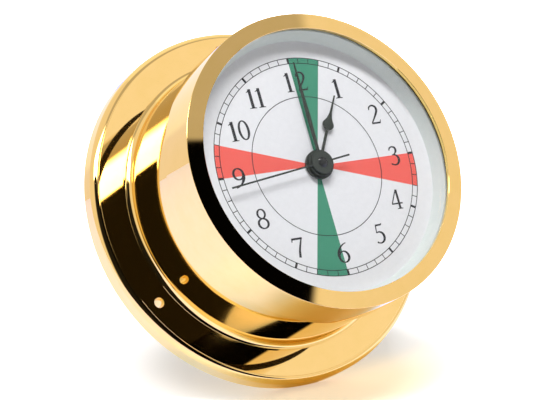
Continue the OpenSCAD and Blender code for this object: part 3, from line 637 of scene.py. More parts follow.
@dataclass
class Case:
    """The turned brass case: flange with rounded edge and flat face, step, cove, straight neck and spigot.

    The support is the distance of a loop that keeps a flat's shading flat beside a round.
    """

    flange_r: float = 59.98
    edge_h: float = 5.0
    edge_round: float = 2.2
    edge_steps: int = 20
    rear_chamfer: float = 0.6
    rim_in_r: float = 58.0
    face_z: float = 7.4
    step_h: float = 0.9
    cove_r: float = 1.85
    cove_steps: int = 16
    neck_r: float = 47.3
    wall: float = 2.0
    joint_z: float = 36.0
    shelf_t: float = 2.0
    spigot_r: float = 46.0
    spigot_in_r: float = 42.7
    spigot_top: float = 44.2
    groove_r: float = 45.1
    groove: Point = (38.95, 40.25)
    hole_r: float = 1.7
    hole_steps: int = 64
    boss_r: float = 3.5
    hole_circle_r: float = 53.475
    hole_angles: tuple[float, ...] = (0.0, 120.0, 240.0)
    edge_break: float = 0.06
    support: float = 0.15
    steps: int = 360

    def section(self) -> Outline:
        """Gives the case's closed section.

        Returns:
            Radius and height of its corners.
        """
        round_r = self.flange_r - self.edge_round
        step_r = self.neck_r + self.cove_r
        step_top = self.face_z + self.step_h
        cove_top = step_top + self.cove_r
        in_r = self.neck_r - self.wall
        shelf = self.joint_z - self.shelf_t
        soft = self.edge_break
        groove_low, groove_high = self.groove
        # The cove's first two points give way to its broken edge.
        cove = arc((step_r, cove_top), self.cove_r, 180, 270, self.cove_steps)[2:]
        return [
            (self.rim_in_r, 0.0), (self.flange_r - self.rear_chamfer, 0.0), (self.flange_r, self.rear_chamfer),
            (self.flange_r, self.edge_h - self.support),
            *arc((round_r, self.edge_h), self.edge_round, 90, 0, self.edge_steps),
            (round_r, self.face_z - soft), (round_r - soft, self.face_z),
            (step_r, self.face_z), (step_r, step_top - soft), (step_r - soft, step_top),
            *cove, (self.neck_r, cove_top + self.support),
            (self.neck_r, self.joint_z), (self.spigot_r, self.joint_z),
            (self.spigot_r, groove_low), (self.groove_r, groove_low),
            (self.groove_r, groove_high), (self.spigot_r, groove_high),
            (self.spigot_r, self.spigot_top), (self.spigot_in_r, self.spigot_top),
            (self.spigot_in_r, shelf), (in_r, shelf), (in_r, self.face_z - self.wall),
            (self.rim_in_r, self.face_z - self.wall),
        ]

    def posts(self, radius: float, low: float, high: float) -> list[Piece]:
        """Turns a round post at each screw hole.

        Args:
            radius: the posts' radius, mm.
            low: rear height, mm.
            high: front height, mm.

        Returns:
            The posts.
        """
        section = [(0.0, low), (radius, low), (radius, high), (0.0, high)]
        return [lathe("post", section, self.hole_steps, polar(self.hole_circle_r, math.radians(angle)))
                for angle in self.hole_angles]

    def build(self) -> Piece:
        """Turns the case, adds the bosses behind the flange and drills the screw holes.

        Returns:
            The case's shell.
        """
        shell = lathe("case_shell", self.section(), self.steps)
        combine(shell, self.posts(self.boss_r, 0.0, self.face_z - self.wall / 2), Join.ADD)
        combine(shell, self.posts(self.hole_r, -DRILL_PAST, self.face_z + DRILL_PAST), Join.CUT)
        return shell

    def dress(self, shop: Workshop) -> None:
        """Builds the case and fits it in polished brass."""
        shop.fit(self.build(), "case", "polished_brass", replaces="case_body")


@dataclass
class Bezel:
    """The pull-off bezel: a straight band over the spigot and a shallow conical lip.

    The support is the distance of loops that keep the band's and the lip's shading straight beside a round.
    """

    band_r: float = 48.4
    bore_r: float = 46.3
    joint_z: float = 36.0
    lip_z: float = 52.79
    lip_rise: float = 0.9
    lip_t: float = 1.2
    opening_r: float = 43.2
    front_round: float = 0.15
    round_steps: int = 10
    edge_break: float = 0.08
    support: float = 0.1
    steps: int = 360

    def section(self) -> Outline:
        """Gives the bezel's closed section.

        Returns:
            Radius and height of its corners.
        """
        round_r = self.band_r - self.front_round
        round_z = self.lip_z - self.lip_rise - self.front_round
        slope = math.degrees(math.atan2(self.lip_rise, round_r - self.opening_r))
        turned = arc((round_r, round_z), self.front_round, 90, slope, self.round_steps)
        soft, near = self.edge_break, self.support
        outer, inner = turned[-1], (self.opening_r + soft, self.lip_z)
        rise = near * (inner[1] - outer[1]) / (outer[0] - inner[0])
        under = self.lip_z - self.lip_t
        return [
            (self.bore_r, self.joint_z), (self.band_r - soft, self.joint_z), (self.band_r, self.joint_z + soft),
            (self.band_r, self.joint_z + soft + near), (self.band_r, round_z - near),
            *turned, (outer[0] - near, outer[1] + rise), (inner[0] + near, inner[1] - rise), inner,
            (self.opening_r, self.lip_z - soft), (self.opening_r, under), (self.bore_r, under),
        ]

    def build(self) -> Piece:
        """Turns the bezel and marks its underside for painted shade.

        Returns:
            The bezel's shell.
        """
        shell = lathe("bezel_shell", self.section(), self.steps)
        # Faces under the band take the second material, a painted shade.
        for face in shell.data.polygons:
            face.material_index = int(-face.center.y < (self.joint_z + self.edge_break) * MM)
        return shell

    def dress(self, shop: Workshop) -> None:
        """Builds the bezel and fits it in polished brass, with painted shade underneath."""
        shop.fit(self.build(), "bezel", "polished_brass", second=SHADED_UNDERSIDE_BRASS, replaces="bezel")


@dataclass
class Spacer:
    """The white conical ring between dial and glass."""

    foot_r: float = 41.6
    flare: float = 1.8
    wall: float = 0.9
    dial_z: float = 45.0
    front_z: float = 49.5
    flange_t: float = 0.7
    flange_r: float = 44.15
    fillet: Point = (0.2, 0.3)
    edge_break: float = 0.12
    steps: int = 256

    def build(self) -> Piece:
        """Turns the ring.

        Returns:
            The spacer ring.
        """
        top_r = self.foot_r + self.flare
        flange_z = self.front_z - self.flange_t
        section = [
            (self.foot_r, self.dial_z), (self.foot_r + self.wall, self.dial_z),
            (self.flange_r - self.fillet[0], flange_z - self.fillet[1]),
            (self.flange_r, flange_z), (self.flange_r, self.front_z),
            (top_r + self.edge_break, self.front_z), (top_r, self.front_z - self.edge_break),
        ]
        return lathe("spacer_wall", section, self.steps)

    def dress(self, shop: Workshop) -> None:
        """Builds the ring and fits it in white plastic."""
        shop.fit(self.build(), "case", "white_plastic", replaces="spacer_ring")


@dataclass(frozen=True)
class Digit:
    """A roman digit as strokes of varying width, rings, plates and balls, in units of its height.

    A stroke is a row of x, y and width; a ring has its centre, two radii, and its width at the top and the sides.
    """

    strokes: tuple[tuple[Place, ...], ...] = ()
    rings: tuple[tuple[float, ...], ...] = ()
    plates: tuple[tuple[Point, ...], ...] = ()
    balls: tuple[Place, ...] = ()
    turned: bool = False
    ring_steps: int = 48
    ball_steps: int = 24
    swell: float = 1.3

    def build(self, middle: Point, height: float, low: float, high: float) -> Piece:
        """Makes the digit as one flat solid.

        Args:
            middle: place of its middle on the dial, mm.
            height: its height, mm.
            low: rear height, mm.
            high: front height, mm.

        Returns:
            The digit.
        """
        size = -height if self.turned else height

        def put(x: float, y: float) -> Point:
            """Gives a point of the digit on the dial, mm."""
            return middle[0] + size * x, middle[1] + size * (y - 0.5)

        paths = [([(*put(x, y), w * height) for x, y, w in spline(stroke)], False) for stroke in self.strokes]
        for x, y, rx, ry, thin, thick in self.rings:
            paths.append(([(*put(x + rx * math.cos(a), y + ry * math.sin(a)),
                            (thin + (thick - thin) * abs(math.cos(a)) ** self.swell) * height)
                           for a in circle(self.ring_steps)], True))
        outlines = [[put(x, y) for x, y in plate] for plate in self.plates]
        outlines += [[put(x + r * math.cos(a), y + r * math.sin(a)) for a in circle(self.ball_steps)]
                     for x, y, r in self.balls]
        parts = []
        for path, closed in paths:
            mesh = bmesh.new()
            ribbon(mesh, path, closed, low, high)
            parts.append(new_piece("stroke", mesh))
        for outline in outlines:
            mesh = bmesh.new()
            slab(mesh, outline, low, high)
            parts.append(new_piece("plate", mesh))
        if len(parts) > 1:
            combine(parts[0], parts[1:], Join.ADD)
        return parts[0]


STEM = 0.16
HAIR = 0.065
SIX = Digit(
    strokes=(((0.27, 0.975, 0.045), (0.09, 0.91, 0.06), (-0.1, 0.76, 0.1), (-0.23, 0.55, STEM),
              (-0.272, 0.34, STEM)),),
    rings=((0.0, 0.305, 0.262, 0.275, 0.06, 0.13),))
DIGITS = {
    "0": Digit(rings=((0.0, 0.5, 0.245, 0.47, 0.06, 0.13),)),
    "1": Digit(strokes=(((0.0, 0.02, STEM), (0.0, 0.985, STEM)),),
               plates=(((-0.19, 0.0), (0.19, 0.0), (0.19, 0.03), (0.07, 0.06), (-0.07, 0.06), (-0.19, 0.03)),
                       ((-0.2, 0.835), (-0.185, 0.815), (-0.03, 0.86), (0.05, 0.98), (0.03, 1.0)))),
    "2": Digit(strokes=(((-0.235, 0.745, 0.06), (-0.185, 0.885, 0.075), (-0.02, 0.955, 0.08), (0.15, 0.88, 0.115),
                         (0.195, 0.72, 0.125), (0.12, 0.54, 0.11), (-0.06, 0.29, 0.08), (-0.24, 0.06, HAIR)),),
               plates=(((-0.28, 0.0), (0.24, 0.0), (0.29, 0.2), (0.262, 0.2), (0.21, 0.09), (-0.22, 0.085)),)),
    "3": Digit(strokes=(((-0.21, 0.79, 0.06), (-0.14, 0.91, 0.07), (0.0, 0.96, 0.07), (0.145, 0.895, 0.105),
                         (0.17, 0.75, 0.115), (0.065, 0.6, 0.07), (-0.09, 0.535, 0.045)),
                        ((-0.085, 0.55, 0.045), (0.075, 0.53, 0.07), (0.2, 0.41, 0.12), (0.205, 0.22, 0.125),
                         (0.095, 0.075, 0.095), (-0.08, 0.03, 0.06), (-0.24, 0.085, 0.07))),
               balls=((-0.23, 0.09, 0.045),)),
    "4": Digit(strokes=(((0.085, 0.985, 0.06), (-0.3, 0.3, 0.055)), ((0.1, 0.02, 0.12), (0.1, 0.985, 0.12))),
               plates=(((-0.325, 0.25), (0.3, 0.25), (0.3, 0.32), (-0.3, 0.32)),
                       ((-0.06, 0.0), (0.26, 0.0), (0.26, 0.03), (0.16, 0.055), (0.04, 0.055), (-0.06, 0.03)))),
    "5": Digit(strokes=(((-0.125, 0.93, 0.055), (-0.175, 0.545, 0.05)),
                        ((-0.18, 0.555, 0.05), (-0.02, 0.585, 0.075), (0.145, 0.5, 0.115), (0.205, 0.32, 0.13),
                         (0.135, 0.13, 0.105), (-0.04, 0.03, 0.065), (-0.23, 0.06, 0.065))),
               plates=(((-0.15, 0.88), (0.19, 0.9), (0.235, 1.0), (0.21, 1.005), (0.17, 0.975), (-0.14, 0.97)),),
               balls=((-0.225, 0.075, 0.045),)),
    "6": SIX,
    "7": Digit(strokes=(((0.28, 0.945, 0.065), (0.15, 0.65, 0.09), (0.03, 0.34, 0.11), (-0.04, 0.0, 0.13)),),
               plates=(((-0.3, 0.77), (-0.265, 0.77), (-0.22, 0.875), (0.31, 0.875), (0.31, 0.975),
                        (-0.28, 0.975)),)),
    "8": Digit(rings=((0.0, 0.745, 0.2, 0.225, 0.06, 0.105), (0.0, 0.265, 0.258, 0.24, 0.06, 0.12))),
    "9": replace(SIX, turned=True),
}


class Sector(Enum):
    """The silence sectors by their colour, with the first minute of each."""

    GREEN = (0, 30)
    RED = (15, 45)


@dataclass
class DialPrint:
    """What is printed on the dial: sectors, minute track, inner circle and hour numbers.

    The nudges set each hour number's middle where the printer has it, and the pitches space two figures.
    """

    face_z: float = 45.0
    sector_in_r: float = 3.6
    sector_out_r: float = 36.0
    sector_minutes: int = 3
    sector_steps: int = 24
    track: Point = (34.2, 36.0)
    circle_r: float = 22.95
    circle_steps: int = 240
    minutes: int = 60
    line_w: float = 0.25
    mark_every: int = 5
    mark_w: float = 0.75
    numeral_r: float = 28.75
    digit_h: float = 6.5
    nudges: dict[int, Point] = field(default_factory=lambda: {
        1: (0.6, -0.7), 2: (1.06, -0.12), 3: (0.11, -0.19), 4: (0.06, -0.06), 5: (0.95, 0.33), 6: (0.2, -0.07),
        7: (-0.61, 0.0), 8: (0.19, 0.1), 9: (0.01, -0.5), 10: (0.5, 0.08), 11: (-0.87, -0.65), 12: (0.45, -0.65)})
    pitches: dict[int, float] = field(default_factory=lambda: {10: 3.8, 11: 3.3, 12: 4.7})
    sector_t: float = 0.012
    line_t: float = 0.022
    digit_t: float = 0.032
    inks: dict[Sector, Finish] = field(default_factory=lambda: {Sector.GREEN: GREEN_INK, Sector.RED: RED_INK})

    def sectors(self, sector: Sector) -> Piece:
        """Prints the sectors of one colour.

        Args:
            sector: the colour.

        Returns:
            One flat piece.
        """
        mesh = bmesh.new()
        for first in sector.value:
            turns = [math.radians(MINUTE * (first + self.sector_minutes * k / self.sector_steps))
                     for k in range(self.sector_steps + 1)]
            outline = [polar(self.sector_out_r, turn) for turn in turns]
            outline += [polar(self.sector_in_r, turn) for turn in reversed(turns)]
            slab(mesh, outline, self.face_z, self.face_z + self.sector_t)
        return new_piece(f"{sector.name.lower()}_sectors", mesh)

    def lines(self) -> Piece:
        """Prints the minute track and the inner circle.

        Returns:
            One flat piece.
        """
        mesh = bmesh.new()
        top = self.face_z + self.line_t
        for radius in (*self.track, self.circle_r):
            ring = [(*polar(radius, turn), self.line_w) for turn in circle(self.circle_steps)]
            ribbon(mesh, ring, True, self.face_z, top)
        half = self.line_w / 2
        ends = (self.track[0] + half, self.track[1] - half)
        for minute, turn in enumerate(circle(self.minutes)):
            width = self.line_w if minute % self.mark_every else self.mark_w
            path = [(*polar(radius, turn), width) for radius in ends]
            ribbon(mesh, path, False, self.face_z, top)
        return new_piece("minute_track", mesh)

    def numerals(self) -> Piece:
        """Prints the hour numbers, upright, round the dial.

        Returns:
            One flat piece.
        """
        mesh = bmesh.new()
        for hour, nudge in self.nudges.items():
            x, y = polar(self.numeral_r, math.radians(HOUR * hour))
            text = str(hour)
            for k, figure in enumerate(text):
                shift = self.pitches.get(hour, 0.0) * (k - (len(text) - 1) / 2)
                middle = (x + nudge[0] + shift, y + nudge[1])
                piece = DIGITS[figure].build(middle, self.digit_h, self.face_z, self.face_z + self.digit_t)
                mesh.from_mesh(piece.data)
                bpy.data.objects.remove(piece)
        return new_piece("hour_numbers", mesh)

    def dress(self, shop: Workshop) -> None:
        """Prints the dial.

        Args:
            shop: the workshop that mixes the inks.
        """
        for sector, ink in self.inks.items():
            shop.fit(self.sectors(sector), "case", "white_enamel_paint", ink)
        for piece in (self.lines(), self.numerals()):
            shop.fit(piece, "case", "white_enamel_paint", NUMERAL_INK)


@dataclass
class Cell:
    """The battery: film shrunk over the can's ends, bare steel in the middle of both, and the contact cap."""

    can_r: float = 7.25
    minus_end: float = -24.5
    plus_end: float = 24.9
    cap_end: float = 26.0
    cap_r: float = 2.7
    film_in_r: float = 5.5
    film_t: float = 0.25
    corner: float = 0.6
    corner_steps: int = 6
    height: float = 34.05
    below: float = 18.95
    steps: int = 96

    def section(self) -> Outline:
        """Gives the cell's closed section, from its minus end to its cap.

        Returns:
            Radius and length of its corners.
        """
        ends, soft = self.can_r - self.corner, self.film_t
        minus, plus = self.minus_end, self.plus_end
        film, cap = self.film_in_r, self.cap_r
        return [
            (0.0, minus), (film - 2 * soft, minus), (film - soft, minus + soft), (film, minus + soft),
            (film + soft, minus),
            *arc((ends, minus + self.corner), self.corner, 180, 90, self.corner_steps),
            *arc((ends, plus - self.corner), self.corner, 90, 0, self.corner_steps),
            (film + soft, plus), (film, plus - soft), (cap + soft, plus - soft), (cap, plus),
            (cap, self.cap_end - soft), (cap - soft, self.cap_end), (0.0, self.cap_end),
        ]

    def build(self) -> Piece:
        """Turns the cell, marks its bare ends and lays it across the movement.

        Returns:
            The cell.
        """
        piece = lathe("cell", self.section(), self.steps)
        for face in piece.data.polygons:
            face.material_index = int(math.hypot(face.center.x, face.center.z) < self.film_in_r * MM)
        piece.data.transform(Matrix.Rotation(math.radians(90), 4, "Z"))
        piece.data.transform(Matrix.Translation(on_dial(0.0, -self.below, self.height)))
        return piece

    def dress(self, shop: Workshop) -> None:
        """Builds the cell and fits it in its film, with bare ends."""
        shop.fit(self.build(), "battery", "battery_jacket", second=BARE_CAN, replaces="battery")


@dataclass
class Hand:
    """A pressed and painted hand: round boss plate, pointer and the sleeve on its tube.

    Profile and tail are rows of distance from the axis and half width; a radius or top of 0 leaves a form out.
    """

    name: str
    body: str
    node: str
    angle: float
    low: float
    profile: Outline
    boss_r: float
    sleeve_r: float
    rear: float
    bore_r: float = 0.0
    tail: Outline = field(default_factory=list)
    cap_top: float = 0.0
    cap_inset: float = 0.03
    cap_edge: float = 0.12
    cap_edge_steps: int = 4
    dome_r: float = 1.7
    dome_h: float = 0.55
    dome_steps: int = 8
    sheet_t: float = 0.35
    edge: float = 0.1
    rim_steps: int = 40
    bore_steps: int = 72
    cap_steps: int = 96

    def rim(self, start: float, end: float) -> Outline:
        """Samples the boss plate's rim between two clock angles in degrees, both left out."""
        step = (end - start) / self.rim_steps
        return [polar(self.boss_r, math.radians(start + step * k)) for k in range(1, self.rim_steps)]

    def outline(self) -> Outline:
        """Gives the sheet's outline, pointing to twelve.

        Returns:
            Corners of pointer, boss plate and tail.
        """
        root, tail_root = [math.degrees(math.asin(rows[0][1] / self.boss_r)) if rows else 0.0
                           for rows in (self.profile, self.tail)]
        return [
            *[(w, v) for v, w in self.profile], *[(-w, v) for v, w in reversed(self.profile)],
            *self.rim(-root, -180 + tail_root),
            *[(-w, -v) for v, w in self.tail], *[(w, -v) for v, w in reversed(self.tail)],
            *self.rim(180 - tail_root, root),
        ]

    def cap(self) -> Piece:
        """Turns the cap: a disc on the sheet with a low dome in its middle.

        Returns:
            The cap.
        """
        foot = self.low + self.sheet_t - OVERLAP
        disc = self.cap_top - self.dome_h
        soft, cap_r = self.cap_edge, self.boss_r - self.cap_inset
        ball = (self.dome_r ** 2 + self.dome_h ** 2) / (2 * self.dome_h)
        lean = math.degrees(math.asin(self.dome_r / ball))
        # A loop half an edge inside the round keeps the disc's shading flat.
        loop_r = cap_r - 1.5 * soft
        return lathe("cap", [
            (0.0, foot), (cap_r, foot), (cap_r, disc - soft),
            *arc((cap_r - soft, disc - soft), soft, 90, 0, self.cap_edge_steps),
            (loop_r, disc), (self.dome_r + OVERLAP, disc),
            *arc((0.0, self.cap_top - ball), ball, lean, 0, self.dome_steps),
        ], self.cap_steps)

    def build(self) -> Piece:
        """Presses the sheet, adds sleeve and cap, and turns the hand to its resting angle.

        Returns:
            The hand.
        """
        top = self.low + self.sheet_t
        mesh = bmesh.new()
        slab(mesh, self.outline(), self.low, top, self.edge)
        piece = new_piece(self.name, mesh)
        sunk = self.low + OVERLAP
        sleeve = [(self.bore_r, self.rear), (self.sleeve_r, self.rear), (self.sleeve_r, sunk), (self.bore_r, sunk)]
        more = [lathe("sleeve", sleeve, self.bore_steps)]
        if self.cap_top:
            more.append(self.cap())
        combine(piece, more, Join.ADD)
        dome_z = self.cap_top - self.dome_h + FLUSH
        for face in piece.data.polygons:
            face.material_index = int(bool(self.cap_top) and -face.center.y > dome_z * MM)
        if self.bore_r:
            low, high = self.rear - DRILL_PAST, top + DRILL_PAST
            drill = [(0.0, low), (self.bore_r, low), (self.bore_r, high), (0.0, high)]
            combine(piece, [lathe("drill", drill, self.bore_steps)], Join.CUT)
        piece.data.transform(Matrix.Rotation(math.radians(self.angle), 4, "Y"))
        return piece

    def dress(self, shop: Workshop) -> None:
        """Builds the hand and fits it in black paint, with a glossy cap where it has one."""
        second = GLOSSY_CAP if self.cap_top else None
        shop.fit(self.build(), self.body, "black_hand_paint", second=second, replaces=self.node)


def hands() -> list[Hand]:
    """Gives the three hands at their resting angles.

    Returns:
        Hour, minute and second hand.
    """
    drop = [(4.72, 0.45), (8.0, 0.45), (12.2, 0.46), (12.45, 0.62), (12.7, 1.05), (13.1, 1.5), (13.6, 1.86),
            (14.2, 2.0), (14.7, 1.93), (15.2, 1.7), (15.8, 1.32), (16.6, 0.92), (17.6, 0.6), (18.6, 0.42),
            (19.8, 0.33), (22.5, 0.27), (24.9, 0.22)]
    blade = [(4.26, 0.52), (16.0, 0.7), (33.7, 0.2)]
    stick = [(3.78, 0.275), (34.3, 0.275)]
    tail = [(3.78, 0.275), (10.4, 0.275)]
    return [
        Hand("hour_hand_sheet", "hours", "hour_hand", 30.0, 46.2, drop, boss_r=4.75, sleeve_r=4.71, rear=45.45,
             bore_r=3.05),
        Hand("minute_hand_sheet", "minutes", "minute_hand", 0.6, 47.4, blade, boss_r=4.3, sleeve_r=3.7, rear=46.9,
             bore_r=1.85),
        Hand("second_hand_sheet", "seconds", "second_hand", 263.0, 48.15, stick, boss_r=3.8, sleeve_r=3.0,
             rear=48.1, tail=tail, cap_top=49.1),
    ]


class Chart(Enum):
    """How a panel's place in the sky is given."""

    DOME = "degrees round the clock, from the camera to the right, and degrees above the horizon"
    CEILING = "steps to the right and to the camera on a level ceiling one step above the clock"


# The room's light is slightly rosy, as brass shows it: single reflections pale, double ones golden.
ROOM_CAST = (1.0, 0.905, 1.07)


@dataclass(frozen=True)
class Panel:
    """A card, wall or lamp of the studio, as a patch of sky that polished metal mirrors."""

    across: Point
    along: Point
    across_blur: Point
    along_blur: Point
    level: float
    colour: str = "#FFFFFF"
    chart: Chart = Chart.DOME

    def glow(self) -> Colour:
        """Gives the panel's light, linear, with the room's cast."""
        return (*[c * cast for c, cast in zip(linear(self.colour, self.level), ROOM_CAST)], 1.0)

    def mask(self, tree: Tree, ways: Sequence[Socket]) -> Socket:
        """Builds the panel's patch with its soft edges.

        Args:
            tree: the world's node tree.
            ways: the two measures of the sky that the panel's chart gives.

        Returns:
            1 inside the panel and 0 outside.
        """
        patch = None
        for way, span, blurs in zip(ways, (self.across, self.along), (self.across_blur, self.along_blur)):
            for edge, blur, before in zip(span, blurs, (0.0, 1.0)):
                step = add_node(tree, "MapRange", {"Value": way, "From Min": edge - blur, "From Max": edge + blur,
                                                   "To Min": before, "To Max": 1.0 - before},
                                interpolation_type="SMOOTHSTEP")
                patch = add_node(tree, "Math", {0: patch, 1: step}, operation="MULTIPLY") if patch else step
        return patch


@dataclass(frozen=True)
class Fade:
    """Colours along the table: a first one, then others, each reached over a span of metres."""

    first: Glow
    steps: tuple[tuple[Point, Glow], ...]

    def lay(self, tree: Tree, length: Socket) -> Glow:
        """Builds the colours along a length.

        Args:
            tree: the table's node tree.
            length: the length at each place on the table, m.

        Returns:
            The colour.
        """
        return layered(tree, self.first, [
            (add_node(tree, "MapRange", {"Value": length, "From Min": start, "From Max": end},
                      interpolation_type="SMOOTHSTEP"), colour) for (start, end), colour in self.steps])


@dataclass
class Studio:
    """White room with a dark camera side, a long lamp overhead and a dimmer corner at the right.

    Places on the table are lengths to the camera and to the right, in metres, and lamps add a height.
    """

    eye: Place = (-0.4119, -0.6787, -0.1701)
    image_w: int = 542
    focal_px: float = 2481.14
    sensor_mm: float = 36.0
    right: Place = (0.84863, -0.45751, -0.26555)
    up: Place = (0.12386, -0.31618, 0.94058)
    ahead: Place = (0.51429, 0.83109, 0.21166)
    world_up: Place = (0.0, -0.5, 0.8660254)
    floor_drop: float = 0.0514
    table: tuple[Point, ...] = ((0.05, -0.5), (1.5, 1.3), (-1.5, 1.6), (-1.5, -0.5))
    contact: Point = (0.022, 0.028)
    shadow: Point = (0.0, 0.02)
    foot_span: Point = (0.012, 0.042)
    pale_span: Point = (0.026, 0.052)
    cool_span: Point = (0.055, 0.1)
    golden_span: Point = (0.022, 0.038)
    seen_span: Point = (0.04, 0.075)
    paper_grit_mm: float = 2.5
    paper_tone: Point = (0.91, 0.95)
    paper_roughness: float = 0.9
    fill: float = 0.25
    key: tuple[Place, Point, float] = ((0.28, 0.065, 0.76), (0.5, 0.12), 5.1)
    rear: tuple[Place, Point, float] = ((-0.75, 0.0, 0.05), (0.8, 0.5), 6.0)
    horizon: float = 0.001
    sweep: Panel = Panel((-180, 180), (-90, 90), (0, 0), (0, 0), 1.45, "#E4EBE6")
    walls: tuple[Panel, ...] = (
        Panel((-137, 130), (-90, 90), (2, 12), (1, 1), 1.0),
        Panel((57, 84), (22, 48), (2, 10), (8, 8), 1.16, "#F8FAFF"),
        Panel((20, 100), (51, 95), (4, 4), (1, 1), 0.6),
        Panel((20, 57), (47, 52), (4, 1), (1, 1), 0.6),
        Panel((-36, 30), (-30, 57), (9, 1), (2, 1), 0.016),
        Panel((29, 57), (-30, 48.0), (1, 0.8), (2, 0.5), 0.001),
        Panel((-0.65, 0.40), (0.44, 0.685), (0.1, 0.05), (0.04, 0.02), 14.0, chart=Chart.CEILING),
    )

    def axes(self) -> tuple[Vector, Vector, Vector]:
        """Gives the studio's level axes.

        Returns:
            Towards the camera, to the right, and up.
        """
        up = Vector(self.world_up).normalized()
        back = -Vector(self.ahead)
        level = (back - back.dot(up) * up).normalized()
        return level, Vector(self.right), up

    def spot(self, forward: float, side: float, rise: float) -> Vector:
        """Gives the point at lengths to the camera, to the right and up from the clock's origin."""
        level, right, up = self.axes()
        return level * forward + right * side + up * rise

    def aim(self, thing: Piece, *columns: Vector) -> None:
        """Stands a camera or lamp with its own axes to the side, up and back, at a place."""
        thing.matrix_world = Matrix([[column[i] for column in columns] for i in range(3)] + [[0, 0, 0, 1]])

    def camera(self) -> None:
        """Sets the camera up at the photograph's viewing angle."""
        data = bpy.data.cameras.new("camera")
        data.sensor_width = self.sensor_mm
        data.lens = self.focal_px / self.image_w * self.sensor_mm
        camera = show("camera", data)
        self.aim(camera, Vector(self.right), Vector(self.up), -Vector(self.ahead), Vector(self.eye))
        bpy.context.scene.camera = camera

    def floor(self) -> None:
        """Lays a white table under the clock, seen from above only."""
        data = bpy.data.meshes.new("table")
        corners = [self.spot(*corner, -self.floor_drop) for corner in self.table]
        data.from_pydata(corners, [], [range(len(corners))])
        data.materials.append(self.paper())
        show("table", data)

    def paper(self) -> bpy.types.Material:
        """Makes the table's white paper, with painted shade round the clock's foot and a painted golden glow from
        the brass before it.

        Returns:
            The paper.
        """
        material, tree, shader = new_material("white_paper")
        ground = add_node(tree, "NewGeometry").node.outputs
        rays = add_node(tree, "LightPath").node.outputs
        level, right, _ = self.axes()
        gap, around, ahead = [
            add_node(tree, "VectorMath", {0: ground["Position"], 1: tuple(other)}, "Value", operation=operation)
            for operation, other in (("DISTANCE", self.spot(*self.contact, -self.floor_drop)),
                                     ("DISTANCE", self.spot(*self.shadow, -self.floor_drop)),
                                     ("DOT_PRODUCT", (level + right).normalized()))]
        # Painted reflection, what brass mirrors of the paper: a dark gold painted shade at the clock's foot, then
        # paler, then cool white.
        painted_reflection = Fade(linear("#7C5D00"), (
            (self.foot_span, linear("#A6AC73")), (self.pale_span, linear("#A1C4FF", 1.3)),
            (self.cool_span, linear("#94ADFF", 1.42)))).lay(tree, gap)
        # What the eye sees of it: painted grey shade behind the clock, a painted golden glow before it, and white
        # all round.
        painted_glow = Fade(linear("#9A9A97"), ((self.golden_span, linear("#C7BCA6")),)).lay(tree, ahead)
        seen = Fade(painted_glow, ((self.seen_span, WHITE),)).lay(tree, around)
        # Matt faces take a dim grey painted glow from it.
        glow = layered(tree, linear("#616161"), ((rays["Is Camera Ray"], seen), (rays["Is Glossy Ray"], painted_reflection)))
        # The paper's base colour: a warm painted bounce light at the foot, then white with faint grit, and a rosy
        # painted tint that only brass's reflections of it show.
        grit = add_node(tree, "TexNoise", {"Vector": ground["Position"], "Scale": 1.0 / (self.paper_grit_mm * MM)})
        low, high = self.paper_tone
        tone = add_node(tree, "MapRange", {"Value": grit, "To Min": low, "To Max": high})
        tone = layered(tree, tone, [(rays["Is Glossy Ray"], linear("#F7DAFC"))])
        plug(tree, shader, {
            "Base Color": Fade(linear("#F9EBCE"), ((self.foot_span, tone),)).lay(tree, gap),
            "Emission Color": glow, "Emission Strength": 1.0, "Roughness": self.paper_roughness,
            "Specular IOR Level": 0.0,
        })
        open_up(tree, ground["Backfacing"])
        return material

    def world(self) -> None:
        """Builds the room's light: white to the eye, plain fill on matt faces, cards and lamps in the metal."""
        world = bpy.data.worlds.new("studio")
        bpy.context.scene.world = world
        world.use_nodes = True
        tree = world.node_tree
        way = add_node(tree, "TexCoord", out="Generated")
        toward, side, rise = [add_node(tree, "VectorMath", {0: way, 1: tuple(axis)}, "Value",
                                       operation="DOT_PRODUCT") for axis in self.axes()]
        above = add_node(tree, "Math", {0: rise, 1: self.horizon}, operation="MAXIMUM")
        angles = (add_node(tree, "Math", {0: side, 1: toward}, operation="ARCTAN2"),
                  add_node(tree, "Math", {0: rise}, operation="ARCSINE"))
        charts = {
            Chart.DOME: [add_node(tree, "Math", {0: angle}, operation="DEGREES") for angle in angles],
            Chart.CEILING: [add_node(tree, "Math", {0: run, 1: above}, operation="DIVIDE")
                            for run in (side, toward)],
        }
        room = layered(tree, self.sweep.glow(),
                       [(panel.mask(tree, charts[panel.chart]), panel.glow()) for panel in self.walls])
        rays = add_node(tree, "LightPath").node.outputs
        shown = add_node(tree, "Math", {0: rays["Is Camera Ray"], 1: rays["Is Transmission Ray"]},
                         operation="MAXIMUM")
        light = layered(tree, linear("#FFFFFF", self.fill), ((rays["Is Glossy Ray"], room), (shown, WHITE)))
        plug(tree, tree.nodes["Background"], {"Color": light, "Strength": 1.0})

    def lamp(self, name: str, place: Place, size: Point, power: float) -> None:
        """Hangs a soft lamp that faces the clock and that metal doesn't mirror.

        Args:
            name: the lamp's name.
            place: its place to the camera, to the right and up, m.
            size: its length and width, m.
            power: its power, W.
        """
        data = bpy.data.lights.new(name, "AREA")
        data.shape = "RECTANGLE"
        data.size, data.size_y = size
        data.energy = power
        centre = self.spot(*place)
        back, right = centre.normalized(), Vector(self.right)
        side = (right - back * right.dot(back)).normalized()
        lamp = show(name, data)
        self.aim(lamp, side, back.cross(side), back, centre)
        lamp.visible_glossy = False

    def build(self) -> None:
        """Sets up camera, table, room and lamps."""
        self.camera()
        self.floor()
        self.world()
        self.lamp("key", *self.key)
        self.lamp("rear", *self.rear)
        bpy.context.scene.view_settings.view_transform = "Standard"


def main() -> None:
    """Builds the clock and its studio."""
    logging.basicConfig(level=logging.INFO, format="%(message)s")
    Studio().build()
    shop = Workshop()
    for part in (Case(), Bezel(), Spacer(), DialPrint(), Cell(), *hands()):
        part.dress(shop)
    shop.dress_nodes()


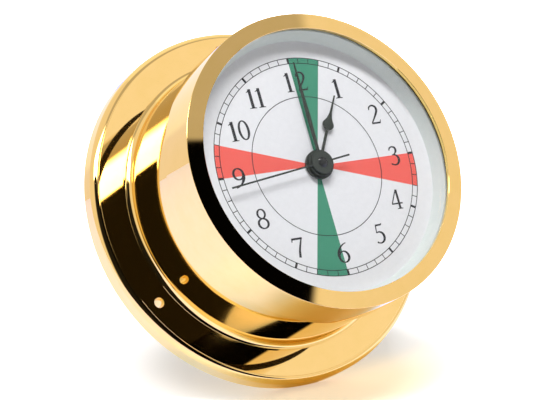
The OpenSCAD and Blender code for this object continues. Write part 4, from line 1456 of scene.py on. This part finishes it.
if __name__ == "__main__":
    main()
